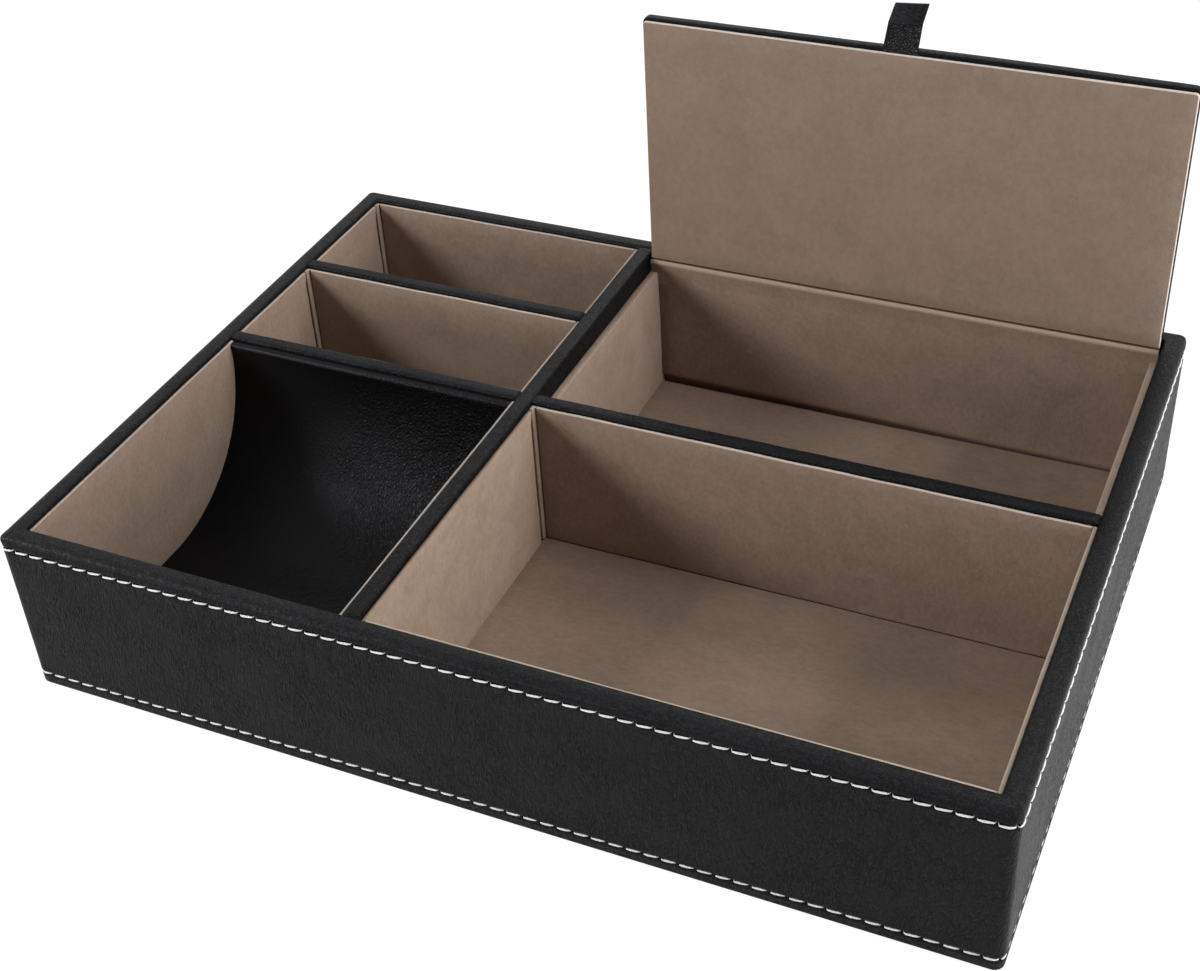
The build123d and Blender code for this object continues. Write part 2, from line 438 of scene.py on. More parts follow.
@dataclass(frozen=True)
class Leather(Finish):
    """Coated leather with a fine grain and patches of wavy wrinkles.

    Args:
        name: Name of the material.
        colour: Colour on the pebbles.
        crease: Darker colour in the creases and between the pebbles, which is painted shade.
        pebble: Size of a pebble along X, Y and Z.
        relief: Depth of the grain.
        roughness: Roughness on the pebbles.
        specular: Strength of the reflection, 0.5 for plain plastic.
        coat: Weight of the smooth coating, which is thinner in the wrinkles.
        tilt: Turn of the grain about the Y axis, in degrees.
        wrinkled: Share of the wrinkles' depth outside their patches.
        grain: Share of the relief that the pebbles have.
        rise: Distances from a pebble's edge between which it rises, where its middle is at about 0.5.
        pores: Share of the fine pores.
        ragged: How far the pattern is pushed about, in cells.
        shade_shares: Shares of the wrinkles and of the gaps between pebbles that take the darker colour, as
            painted shade.
        creased: Places along X between which the wrinkles set in, for a piece that isn't patchy.

    Attributes:
        WAVE: Size of a wave, in pebbles.
        CREASE_WIDTH: How near to the middle of its range the waves' noise makes a crease.
        PORE: Size of a pore, in pebbles.
        PATCH: Size of a wrinkled patch along X, Y and Z.
    """

    WAVE: ClassVar[float] = 1.7
    CREASE_WIDTH: ClassVar[float] = 0.09
    PORE: ClassVar[float] = 0.3
    PATCH: ClassVar[Cell] = (24 * MM, 24 * MM, 20 * MM)

    name: str = "black_leather"
    colour: Colour = (0.0052, 0.0049, 0.0060)
    crease: Colour = (0.0018, 0.0017, 0.0020)
    pebble: Cell = (0.95 * MM, 0.95 * MM, 3.4 * MM)
    relief: float = 0.47 * MM
    roughness: float = 0.42
    specular: float = 0.08
    coat: float = 0.070
    tilt: float = -12.0
    wrinkled: float = 0.50
    grain: float = 0.25
    rise: Span = (0.02, 0.40)
    pores: float = 0.35
    ragged: float = 0.9
    shade_shares: Span = (0.5, 0.5)
    creased: Span | None = None

    def _constants(self) -> dict[str, Any]:
        """Cool reflection under a smooth coating."""
        tint = (0.90, 0.91, 1.0, 1)
        return {"Specular IOR Level": self.specular, "Specular Tint": tint, "Coat Roughness": 0.36}

    def _paint(self, shader: Shader) -> None:
        """Pebbles and long waves, both pushed about, with fine pores on top."""
        where = shader.place(self.pebble, self.tilt)
        loose = {"Vector": where, "Scale": 0.7, "Detail": 2}
        drift = shader.node("ShaderNodeTexNoise", sockets=loose, output="Color")
        pebbles = shader.spread(shader.gaps(shader.warp(where, drift, self.ragged)), *self.rise)
        long = shader.place([size * self.WAVE for size in self.pebble], self.tilt)
        waves = shader.noise(shader.warp(long, drift, 0.8 * self.ragged), distortion=0.7)
        local = self._patches(shader) * (1 - self.wrinkled) + self.wrinkled
        creases = (1 - shader.spread(abs(waves - 0.5), 0.0, self.CREASE_WIDTH)) * local
        dimples = (1 - pebbles) * local
        pores = (shader.blotches(*(size * self.PORE for size in self.pebble)) - 0.5) * self.pores
        # Painted shade: the creases and the gaps between pebbles take the darker colour.
        colour = shader.blend(creases * self.shade_shares[0] + dimples * self.shade_shares[1], self.colour, self.crease)
        roughness = self.roughness + dimples * 0.12 - local * 0.05 + pores * 0.06
        height = waves * local * 0.8 - creases * 0.8 - dimples * self.grain + pores * 0.2
        shader.coat(colour, roughness, height, self.relief)
        shader.feed("Coat Weight", self.coat * (1.10 - creases * 0.72 - dimples * 0.28 + pores * 0.5))

    def _patches(self, shader: Shader) -> Value:
        """Where the leather is wrinkled, from 0 to 1."""
        if self.creased is None:
            return shader.spread(shader.blotches(*self.PATCH, detail=3), 0.36, 0.66)
        waver = shader.blotches(18 * MM) - 0.5
        reach = self.creased[1] - self.creased[0]
        return shader.spread(shader.axis("X") + waver * reach, *self.creased)


@dataclass(frozen=True)
class Suede(Finish):
    """Brushed microsuede with a mottled nap.

    Args:
        name: Name of the material.
        light: Colour where the nap lies towards the light.
        dark: Colour where it was brushed the other way.
        brushed: Size of a brushed patch along X, Y and Z.

    Attributes:
        STROKE: Size of a stroke, in brushed patches.
        FIBRE: Size of a fibre along X, Y and Z.
        ROUGH_PATCH: Size of a patch with a rough nap along X, Y and Z.
        CURL_WIDTH: How near to the middle of its range the curls' noise makes a fibre.
    """

    STROKE: ClassVar[float] = 0.16
    FIBRE: ClassVar[Cell] = (0.34 * MM, 0.34 * MM, 0.55 * MM)
    ROUGH_PATCH: ClassVar[Cell] = (17 * MM, 19 * MM, 13 * MM)
    CURL_WIDTH: ClassVar[float] = 0.05

    name: str = "suede"
    light: Colour = (0.334, 0.247, 0.188)
    dark: Colour = (0.264, 0.191, 0.142)
    brushed: Cell = (10 * MM, 10 * MM, 12 * MM)

    def _constants(self) -> dict[str, Any]:
        """Weak reflection and a warm sheen."""
        sheen = {"Sheen Weight": 0.22, "Sheen Roughness": 0.45, "Sheen Tint": (0.93, 0.82, 0.70, 1)}
        return {"Specular IOR Level": 0.12} | sheen

    def _paint(self, shader: Shader) -> None:
        """Brushed patches, strokes and fibres, with a few curled fibres where the nap is rough."""
        patches = shader.blotches(*self.brushed, detail=4, roughness=0.62, distortion=0.7)
        strokes = shader.blotches(*(size * self.STROKE for size in self.brushed), detail=3, roughness=0.6)
        fibre = shader.blotches(*self.FIBRE, roughness=0.7)
        tone = shader.spread(patches * 0.34 + strokes * 0.40 + fibre * 0.26, 0.36, 0.64)
        curl = shader.blotches(1.0 * MM, detail=1, distortion=1.2)
        rough = shader.spread(shader.blotches(*self.ROUGH_PATCH), 0.54, 0.66)
        curls = (1 - shader.spread(abs(curl - 0.5), 0.0, self.CURL_WIDTH)) * rough
        colour = self._colour(shader, tone - curls * 0.04)
        shader.coat(colour, 0.86 + fibre * 0.12, fibre * 0.6 + strokes * 0.9 - curls * 0.28, 0.20 * MM)

    def _colour(self, shader: Shader, tone: Value) -> Value:
        """Colour of the nap.

        Args:
            shader: Shader that the nodes go into.
            tone: How far the nap lies towards the light, from 0 to 1.

        Returns:
            The colour.
        """
        return shader.blend(tone, self.dark, self.light)


@dataclass(frozen=True)
class BandedSuede(Suede):
    """Suede that changes with its height: a painted highlight along a roll, or painted shade where it is
    tucked in.

    Args:
        painted_highlight: Colour of the painted highlight.
        tucked: Colour of the painted shade where it is tucked in.
        pale: Heights between which the painted highlight sets in, if it does.
        dim: Heights between which the painted shade sets in.
        slope: How much these heights rise for each metre along X.
    """

    painted_highlight: Colour = (0.42, 0.318, 0.245)
    tucked: Colour = (0.105, 0.060, 0.048)
    pale: Span | None = None
    dim: Span = (0.0, 1.0)
    slope: float = 0.0

    def _colour(self, shader: Shader, tone: Value) -> Value:
        """Colour of the nap, with a painted highlight and then painted shade that change with its height.
        """
        height = shader.axis("Z") - shader.axis("X") * self.slope
        nap = super()._colour(shader, tone)
        # Painted highlight between the pale heights, painted shade between the dim heights.
        if self.pale is not None:
            nap = shader.blend(shader.spread(height, *self.pale), nap, self.painted_highlight)
        return shader.blend(shader.spread(height, *self.dim), nap, self.tucked)


@dataclass(frozen=True)
class CutEdge(Finish):
    """Cut edge of a liner, where its pale backing shows.

    Args:
        name: Name of the material.
        colour: Colour of the backing.
        shade: Colour between its fibres.
    """

    name: str = "cut_edge"
    colour: Colour = (0.60, 0.52, 0.46)
    shade: Colour = (0.38, 0.31, 0.26)

    def _constants(self) -> dict[str, Any]:
        """Weak reflection."""
        return {"Specular IOR Level": 0.2}

    def _paint(self, shader: Shader) -> None:
        """Short fibres, frayed here and there."""
        fibre = shader.blotches(0.5 * MM, 0.5 * MM, 0.25 * MM, detail=3, roughness=0.7)
        fray = shader.spread(shader.blotches(3 * MM, detail=3), 0.3, 0.75)
        colour = shader.blend(fibre * 0.5 + fray * 0.3, self.colour, self.shade)
        shader.coat(colour, 0.8 + fibre * 0.15, fibre, 0.12 * MM)


@dataclass(frozen=True)
class Thread(Finish):
    """White sewing thread, twisted from strands.

    Args:
        name: Name of the material.
        colour: Colour of the strands.
        shade: Colour between them.
        strand: Distance between two strands along the thread.
    """

    name: str = "white_thread"
    colour: Colour = (0.97, 0.97, 0.96)
    shade: Colour = (0.84, 0.83, 0.82)
    strand: float = 0.42 * MM

    def _constants(self) -> dict[str, Any]:
        """Dull reflection."""
        return {"Specular IOR Level": 0.3}

    def _paint(self, shader: Shader) -> None:
        """Slanting strands with a little fuzz."""
        wave = {"wave_type": "BANDS", "bands_direction": "DIAGONAL"}
        where = shader.place((self.strand,) * 3)
        look = {"Vector": where, "Scale": 0.16, "Distortion": 0.6, "Detail": 1.0}
        twist = shader.node("ShaderNodeTexWave", wave, look, "Fac")
        fuzz = shader.blotches(0.15 * MM)
        colour = shader.blend(twist * 0.75 + fuzz * 0.25, self.shade, self.colour)
        shader.coat(colour, 0.62 + fuzz * 0.2, twist * 0.8 + fuzz * 0.2, 0.04 * MM)


@dataclass(frozen=True)
class Felt(Finish):
    """Pressed black felt.

    Args:
        name: Name of the material.
        colour: Colour of the fibres on top.
        shade: Colour of those below.
    """

    name: str = "base_felt"
    colour: Colour = (0.022, 0.022, 0.024)
    shade: Colour = (0.009, 0.009, 0.010)

    def _constants(self) -> dict[str, Any]:
        """Hardly any reflection, and a faint sheen."""
        return {"Specular IOR Level": 0.1, "Sheen Weight": 0.15, "Sheen Roughness": 0.5}

    def _paint(self, shader: Shader) -> None:
        """Matted fibres in clumps."""
        fibre = shader.blotches(0.4 * MM, 0.9 * MM, 0.4 * MM, detail=4, roughness=0.7, distortion=1.2)
        clumps = shader.blotches(6 * MM, detail=3)
        colour = shader.blend(fibre * 0.7 + clumps * 0.3, self.shade, self.colour)
        shader.coat(colour, 0.9 + fibre * 0.08, fibre * 0.8 + clumps * 0.4, 0.2 * MM)


@dataclass(frozen=True)
class Fibreboard(Finish):
    """Raw fibreboard of the walls, dividers and lid, under their leather.

    Args:
        name: Name of the material.
        colour: Colour of the board.
        fleck: Colour of its darker fibres.
    """

    name: str = "board"
    colour: Colour = (0.42, 0.31, 0.20)
    fleck: Colour = (0.24, 0.16, 0.10)

    def _constants(self) -> dict[str, Any]:
        """Weak reflection."""
        return {"Specular IOR Level": 0.25}

    def _paint(self, shader: Shader) -> None:
        """Dark flecks in the pressed fibres."""
        flecks = shader.blotches(0.6 * MM, 1.8 * MM, 0.9 * MM, detail=4, roughness=0.75)
        colour = shader.blend(shader.spread(flecks, 0.42, 0.7), self.colour, self.fleck)
        shader.coat(colour, 0.75 + flecks * 0.2, flecks, 0.15 * MM)


LEATHER = Leather()
SCOOP_LEATHER = Leather(
    "scoop_leather",
    colour=(0.0034, 0.0034, 0.0038),
    crease=(0.0012, 0.0012, 0.0014),
    pebble=(1.2 * MM, 1.7 * MM, 1.7 * MM),
    relief=0.165 * MM,
    roughness=0.38,
    specular=0.118,
    coat=0.0,
    tilt=0.0,
    wrinkled=0.12,
    grain=0.7,
    rise=(0.02, 0.30),
    pores=0.0,
    ragged=0.4,
    creased=(-118 * MM, -62 * MM),
)
# The tab's pale pebbles on dark gaps are a painted highlight: glints of the lamps on its grain, put into
# the colour.
TAB_LEATHER = Leather(
    "tab_leather",
    colour=(0.092, 0.094, 0.099),
    crease=(0.009, 0.009, 0.010),
    pebble=(0.9 * MM, 0.9 * MM, 0.9 * MM),
    relief=0.45 * MM,
    specular=0.12,
    coat=0.05,
    tilt=0.0,
    wrinkled=1.0,
    grain=0.8,
    rise=(0.10, 0.40),
    pores=0.0,
    ragged=0.3,
    shade_shares=(0.0, 1.0),
)
TAB_TOP_LEATHER = Leather(
    "tab_leather_smooth",
    colour=(0.014, 0.014, 0.016),
    pebble=(2.4 * MM, 2.4 * MM, 0.8 * MM),
    relief=0.05 * MM,
    tilt=0.0,
    pores=0.0,
)
RIM_LEATHER = Leather(
    "rim_leather",
    pebble=(0.9 * MM, 0.9 * MM, 0.9 * MM),
    relief=0.70 * MM,
    coat=0.133,
    specular=0.10,
    tilt=0.0,
    wrinkled=0.8,
)
SUEDE = Suede()
# Darker copy of the suede for the left panels: painted shade.
SHADED_LEFT_SUEDE = Suede("shaded_left_suede", light=(0.300, 0.222, 0.169), dark=(0.238, 0.172, 0.128))
# Lighter copy of the suede for the right front compartment's left panel: painted light where more lamp
# light falls.
LIT_LEFT_SUEDE = Suede("lit_left_suede", light=(0.377, 0.279, 0.212), dark=(0.298, 0.216, 0.160))
LID_SUEDE = Suede(
    "lid_suede",
    light=(0.324, 0.240, 0.183),
    dark=(0.274, 0.200, 0.150),
    brushed=(14 * MM, 14 * MM, 17 * MM),
)
FLOOR_SUEDE = Suede("floor_suede", brushed=(14 * MM, 9 * MM, 9 * MM))
# Lighter copy of the suede for the panels' tops: painted light where light falls on them from above.
LIT_LEDGE_SUEDE = Suede("lit_ledge_suede", light=(0.47, 0.36, 0.28), dark=(0.36, 0.27, 0.21))
CUT_EDGE = CutEdge()
LID_EDGE = CutEdge("lid_edge", colour=(0.86, 0.78, 0.71), shade=(0.60, 0.50, 0.43))
FRAYED_EDGE = CutEdge("frayed_edge", colour=(0.58, 0.49, 0.38), shade=(0.36, 0.28, 0.21))
THREAD = Thread()
FELT = Felt()
BOARD = Fibreboard()


class Bench:
    """One piece on the bench: a mesh object and the modelling steps done to it.

    Args:
        obj: Mesh object that the steps work on.
    """

    def __init__(self, obj: bpy.types.Object) -> None:
        """Keep the object."""
        self.obj = obj

    @classmethod
    def _added(
        cls, name: str, add: Callable[..., Any], scale: Iterable[float] = (1, 1, 1), **how: Any
    ) -> "Bench":
        """Add a primitive, and make a bench for it with its place in its mesh.

        Args:
            name: Name of the piece.
            add: Operator that adds the primitive.
            scale: Scale of the new object.
            **how: What the operator is told.

        Returns:
            The bench.
        """
        bpy.ops.object.select_all(action="DESELECT")
        add(**how)
        obj = bpy.context.object
        obj.scale = scale
        obj.name = obj.data.name = name
        bpy.ops.object.transform_apply(location=True, rotation=True, scale=True)
        return cls(obj)

    @classmethod
    def block(cls, name: str, space: Space) -> "Bench":
        """Start from a block that fills a space."""
        size = space.high - space.low
        return cls._added(name, bpy.ops.mesh.primitive_cube_add, size, size=1, location=space.middle)

    @classmethod
    def sheet(cls, name: str, space: Space) -> "Bench":
        """Start from a level sheet across a space, at its lowest height."""
        place = (space.middle.x, space.middle.y, space.low.z)
        scale = (*(space.high - space.low).xy, 1)
        return cls._added(name, bpy.ops.mesh.primitive_plane_add, scale, size=1, location=place)

    @classmethod
    def rod(cls, name: str, radius: float, length: float, sides: int) -> "Bench":
        """Start from a rod along X, with its middle at the origin."""
        shape = {"vertices": sides, "radius": radius, "depth": length, "rotation": (0, math.pi / 2, 0)}
        return cls._added(name, bpy.ops.mesh.primitive_cylinder_add, **shape)

    def _only(self) -> None:
        """Make this piece the one selected, active object."""
        bpy.ops.object.select_all(action="DESELECT")
        self.obj.select_set(True)
        bpy.context.view_layer.objects.active = self.obj

    @contextmanager
    def editing(self) -> Iterator[None]:
        """Edit mode on this piece, with nothing selected at first."""
        self._only()
        bpy.ops.object.mode_set(mode="EDIT")
        bpy.ops.mesh.select_all(action="DESELECT")
        yield
        bpy.ops.object.mode_set(mode="OBJECT")

    def pick(self, kind: Part, test: Test) -> None:
        """Select the elements that pass a test, and nothing else.

        Args:
            kind: Edges or faces.
            test: Takes one bmesh element and says if it is wanted.
        """
        bpy.ops.mesh.select_mode(type=kind.value)
        bpy.ops.mesh.select_all(action="DESELECT")
        mesh = bmesh.from_edit_mesh(self.obj.data)
        elements = {Part.EDGES: mesh.edges, Part.FACES: mesh.faces}[kind]
        for element in [element for element in elements if test(element)]:
            element.select_set(True)
        bmesh.update_edit_mesh(self.obj.data)

    def cut(self, axis: int, count: int) -> None:
        """Divide the piece along an axis into a count of equal lengths.

        Args:
            axis: Axis along which the long edges run.
            count: How many lengths there are afterwards.
        """
        places = [vertex.co[axis] for vertex in self.obj.data.vertices]
        with self.editing():
            self.pick(Part.EDGES, running(axis, 0.5 * (max(places) - min(places))))
            bpy.ops.mesh.subdivide(number_cuts=count - 1)

    def slice(self, axis: int, places: Iterable[float]) -> None:
        """Cut an edge loop across the piece at each place on an axis."""
        with self.editing():
            for place in places:
                bpy.ops.mesh.select_all(action="SELECT")
                bpy.ops.mesh.bisect(plane_co=UNITS[axis] * place, plane_no=UNITS[axis])

    def grid(self, space: Space, length: float, *axes: int) -> None:
        """Divide the piece into cells of about a length along each axis."""
        for axis in axes:
            self.slice(axis, space.places(axis, length))

    def bevel(self, width: float, segments: int, test: Test) -> None:
        """Round the edges that pass a test."""
        with self.editing():
            self.pick(Part.EDGES, test)
            bpy.ops.mesh.bevel(offset=width, segments=segments, affect="EDGES")

    def remove(self, test: Test, what: str = "FACE") -> None:
        """Delete the faces that pass a test, where what is the word that the operator has for it."""
        with self.editing():
            self.pick(Part.FACES, test)
            bpy.ops.mesh.delete(type=what)

    def push(self, step: Iterable[float], test: Test, kind: Part = Part.EDGES) -> None:
        """Extrude the elements that pass a test by a step."""
        with self.editing():
            self.pick(kind, test)
            bpy.ops.mesh.extrude_region_move(TRANSFORM_OT_translate={"value": tuple(step)})

    def shape(self, move: Callable[[Vector], Vector]) -> None:
        """Move each vertex to where a function puts it."""
        for vertex in self.obj.data.vertices:
            vertex.co = move(vertex.co.copy())
        self.obj.data.update()

    def outwards(self) -> None:
        """Merge doubles and turn all faces outwards."""
        with self.editing():
            bpy.ops.mesh.select_all(action="SELECT")
            bpy.ops.mesh.remove_doubles(threshold=0.2 * HAIR)
            bpy.ops.mesh.select_all(action="SELECT")
            bpy.ops.mesh.normals_make_consistent(inside=False)

    def thicken(self, thickness: float) -> None:
        """Give an open skin its thickness, inwards."""
        self._only()
        modifier = self.obj.modifiers.new("Solidify", "SOLIDIFY")
        modifier.thickness, modifier.offset = thickness, -1
        bpy.ops.object.modifier_apply(modifier=modifier.name)

    def dress(self, degrees: float, finish: Finish, *others: tuple[Finish, Test]) -> None:
        """Shade the piece smooth and give it its finish.

        Args:
            degrees: Angle from which an edge stays sharp.
            finish: Finish of the whole piece.
            *others: Other finishes, each with a test for the faces that get it.
        """
        self._only()
        bpy.ops.object.shade_smooth_by_angle(angle=math.radians(degrees))
        self.obj.data.materials.clear()
        self.obj.data.materials.append(finish.material())
        for index, (other, test) in enumerate(others, 1):
            self.obj.data.materials.append(other.material())
            for polygon in self.obj.data.polygons:
                if test(polygon):
                    polygon.material_index = index

    def seat(self, body: Body, slot: Slot, *nodes: str) -> None:
        """Let the piece ride on a body in place of CAD nodes, and report it."""
        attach(self.obj, body.value)
        self.stand_for(slot, *nodes)
        log.info("%s: rides on %s, %d faces", self.obj.name, body.value, len(self.obj.data.polygons))

    def hinge(self, first: Body, second: Body, start: Vector, end: Vector, slot: Slot, *nodes: str) -> None:
        """Bake the piece's place into its mesh, in place of CAD nodes, and report it."""
        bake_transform(self.obj)
        self.stand_for(slot, *nodes)
        log.info("%s: bends between %s and %s", self.obj.name, first.value, second.value)

    def stand_for(self, slot: Slot, *nodes: str) -> None:
        """Hide the CAD nodes that the piece stands for."""
        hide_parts(*nodes)


@dataclass(frozen=True)
class Outline:
    """Rounded rectangle round the middle of the box, seen from above.

    Args:
        half_x: Half its width.
        half_y: Half its depth.
        radius: Radius of its corners.
        inner_radius: Least radius of a corner when the outline is moved inwards.
    """

    half_x: float
    half_y: float
    radius: float
    inner_radius: float = 0.6 * MM

    @property
    def core(self) -> Span:
        """Place of a corner's centre."""
        return self.half_x - self.radius, self.half_y - self.radius

    @property
    def corner(self) -> float:
        """Length of the arc round one corner."""
        return math.pi / 2 * self.radius

    @property
    def length(self) -> float:
        """Length all round."""
        return 4 * (self.core[0] + self.core[1] + self.corner)

    def centre(self, x: float, y: float) -> Vector:
        """Nearest point of the rectangle through the corners' centres."""
        wide, deep = self.core
        return Vector((max(-wide, min(wide, x)), max(-deep, min(deep, y))))

    def outward(self, x: float, y: float) -> Vector:
        """Direction straight out of the outline at one of its points."""
        return (Vector((x, y)) - self.centre(x, y)).normalized()

    def inset(self, x: float, y: float, depth: float) -> Vector:
        """Where a point of the outline goes when the outline moves inwards.

        Args:
            x: Place of the point along X.
            y: Place of the point along Y.
            depth: How far the outline moves.

        Returns:
            The new point.
        """
        radius = max(self.radius - depth, self.inner_radius)
        shift = depth - self.radius + radius
        core = self.core
        centre = self.centre(x, y)
        moved = Vector((centre.x * (1 - shift / core[0]), centre.y * (1 - shift / core[1])))
        return moved + self.outward(x, y) * radius

    def point(self, run: float) -> tuple[Vector, Vector]:
        """Point of the outline and the direction out of it.

        Args:
            run: Distance along the outline from the middle of the front, anticlockwise.

        Returns:
            The point and the outward direction, both in the plane.
        """
        run %= self.length
        corners = [(1, -1), (1, 1), (-1, 1), (-1, -1)]
        wide, deep = self.core
        straights = [wide, 2 * deep, 2 * wide, 2 * deep]
        along = [Vector((1, 0)), Vector((0, 1)), Vector((-1, 0)), Vector((0, -1)), Vector((1, 0))]
        start = Vector((0, -self.half_y))
        for turn, (straight, sign) in enumerate(zip(straights, corners)):
            out = Vector((along[turn].y, -along[turn].x))
            if run <= straight:
                return start + along[turn] * run, out
            run -= straight
            if run <= self.corner:
                angle = run / self.radius
                out = out * math.cos(angle) + along[turn] * math.sin(angle)
                return Vector((sign[0] * wide, sign[1] * deep)) + out * self.radius, out
            run -= self.corner
            start = Vector((sign[0] * wide, sign[1] * deep)) + along[turn] * self.radius
        return start + along[4] * run, Vector((0, -1))

    def holes(self, pitch: float) -> list[float]:
        """Runs of the needle holes, evenly spaced on each side, with one round each corner."""
        wide, deep = self.core
        lengths = [2 * wide, 2 * deep, 2 * wide, 2 * deep]
        middle = 0.0
        found = []
        for side, length in enumerate(lengths):
            count = int(length / pitch - 0.3)
            found += [middle + (i - count / 2) * pitch for i in range(count + 1)]
            found.append(middle + length / 2 + self.corner / 2)
            middle += length / 2 + self.corner + lengths[(side + 1) % 4] / 2
        return found


@dataclass
class Shell:
    """Leather wrapped round the walls, over the rim and under the base, with two stitched rows.

    Args:
        corner_radius: Radius of the upright corners.
        skin: Thickness of the leather.
        turn_under: Width of the leather turned under the base.
        foot_radius: Radius of the bottom edge.
        rim_radius: Radius of the rim's outer edge.
        lip_radius: Radius of the rim's inner edge.
        pitch: Length of a stitch.
        columns_per_stitch: Mesh columns for each stitch.
        band: Half height of the finely divided band along each row.
        groove: Depth that the thread is drawn in.
        groove_width: Half width of that groove.
        pull: How much deeper the leather is pulled in at a needle hole.
        dimple: Half width and half height of the dimple there.
        pucker: How much the leather swells beside a row.
        pucker_off: Distance of that swelling from the row.
        pucker_width: Half width of that swelling.
        pucker_least: Share of that swelling that is left beside a hole.
        pucker_reach: How far from a hole it is lowered.
        pinch: How far the rim's corners are drawn out where the leather is folded.
        pinch_reach: How far that goes along the rim and inwards.
        rises: How far the bottom and the top row stand out.
        rim_stretch: How much wider than high the rim's outer rounding is.
        rim_slope: Least slope that has the rim's finish.
        wrap: Space of the whole wrap.
        lining: Space of a panel that the leather goes down behind.
        rows: Heights of the two rows.
    """

    corner_radius: float = 3.2 * MM
    skin: float = 0.8 * MM
    turn_under: float = 14.0 * MM
    foot_radius: float = 1.0 * MM
    rim_radius: float = 2.35 * MM
    lip_radius: float = 1.1 * MM
    pitch: float = 5.5 * MM
    columns_per_stitch: int = 6
    band: float = 2.0 * MM
    groove: float = 0.38 * MM
    groove_width: float = 0.62 * MM
    pull: float = 0.55 * MM
    dimple: Span = (0.55 * MM, 0.5 * MM)
    pucker: float = 0.14 * MM
    pucker_off: float = 1.25 * MM
    pucker_width: float = 0.7 * MM
    pucker_least: float = 0.35
    pucker_reach: float = 1.1 * MM
    pinch: float = 0.6 * MM
    pinch_reach: Span = (2.4 * MM, 2.5 * MM)
    rises: Span = (-0.38 * MM, 0.06 * MM)
    rim_stretch: float = 1.25
    rim_slope: float = 0.42
    wrap: Space = field(default_factory=lambda: Space.of("outer_leather_wrap"))
    lining: Space = field(default_factory=lambda: Space.of("middle_left_left_liner"))
    rows: Span = field(
        default_factory=lambda: tuple(Space.of(f"{row}_stitching").middle.z for row in ("bottom", "top"))
    )

    def __post_init__(self) -> None:
        """Work out the outline, the wall and the needle holes."""
        self.outline = Outline(self.wrap.high.x, self.wrap.high.y, self.corner_radius)
        self.wall = self.wrap.high.x + self.lining.low.x
        runs = self.outline.holes(self.pitch)
        self.holes = kdtree.KDTree(len(runs))
        for index, run in enumerate(runs):
            self.holes.insert(Vector((*self.outline.point(run)[0], 0)), index)
        self.holes.balance()

    def build(self) -> None:
        """Make the leather and both rows of stitches."""
        self._leather()
        for name, row, rise in zip(("bottom", "top"), self.rows, self.rises):
            StitchRow(self.outline, row, self.pitch, rise=rise).build(name)

    def _section(self) -> list[Span]:
        """Inset and height of each ring, from under the base, over the rim and back inside the leather."""
        bottom, top, wall, skin = self.wrap.low.z, self.wrap.high.z, self.wall, self.skin
        foot, rim, lip, band = self.foot_radius, self.rim_radius, self.lip_radius, self.band

        def arc(inset: float, height: float, radius: float, start: int, steps: int) -> list[Span]:
            """Quarter turn clockwise from a start angle."""
            angles = [math.radians(start - 90 * i / steps) for i in range(steps + 1)]
            return [(inset + radius * math.cos(a), height + radius * math.sin(a)) for a in angles]

        def climb(low: float, high: float, steps: int) -> list[Span]:
            """Rings up the outer face, without the two ends."""
            return [(0.0, low + (high - low) * i / steps) for i in range(1, steps)]

        low_row, high_row = self.rows
        flat = rim * self.rim_stretch
        return [
            (self.turn_under, bottom),
            *arc(foot, bottom + foot, foot, 270, 4),
            *climb(bottom + foot, low_row - band + 0.4 * MM, 3),
            *climb(low_row - band, low_row + band, 14),
            *climb(low_row + band, high_row - band, 9),
            *climb(high_row - band, high_row + band, 14),
            *((inset * self.rim_stretch, height) for inset, height in arc(rim, top - rim, rim, 180, 8)),
            (flat + (wall - flat - lip) / 2, top),
            *arc(wall - lip, top - lip, lip, 90, 4),
            *((wall, height) for height in (top - 4 * MM, top - 8 * MM, self.lining.low.z)),
            (wall - skin, self.lining.low.z),
            (wall - skin, top - skin),
            (2 * skin, top - skin),
            (skin, top - 2 * skin),
            (skin, bottom + skin),
            (self.turn_under, bottom + skin),
        ]

    def _leather(self) -> None:
        """Make the leather: a loop of edges drawn up into rings, which take the section's shape."""
        section = self._section()
        level = Space(Vector((*-self.wrap.high.xy, 0)), Vector((*self.wrap.high.xy, 0)))
        bench = Bench.sheet("outer_leather", level)
        step = self.pitch / self.columns_per_stitch
        with bench.editing():
            bpy.ops.mesh.select_all(action="SELECT")
            bpy.ops.mesh.bevel(offset=self.corner_radius, segments=7, affect="VERTICES")
        bench.remove(lambda f: True, "ONLY_FACE")
        for axis, core in enumerate(self.outline.core):
            bench.cut(axis, 2 * round(core / step))
        bench.push((0, 0, len(section) - 1), lambda e: True)
        bench.cut(Z, len(section) - 1)
        bench.shape(lambda p: self._settle(p, *section[round(p.z)]))
        with bench.editing():
            bench.pick(Part.EDGES, lambda e: e.is_boundary)
            bpy.ops.mesh.bridge_edge_loops()
        bench.outwards()
        rim = self.wrap.high.z - self.rim_radius
        bench.dress(50, LEATHER, (RIM_LEATHER, lambda f: f.normal.z > self.rim_slope and f.center.z > rim))
        bench.seat(Body.BOX, Slot.BLACK_LEATHER, "outer_leather_wrap")

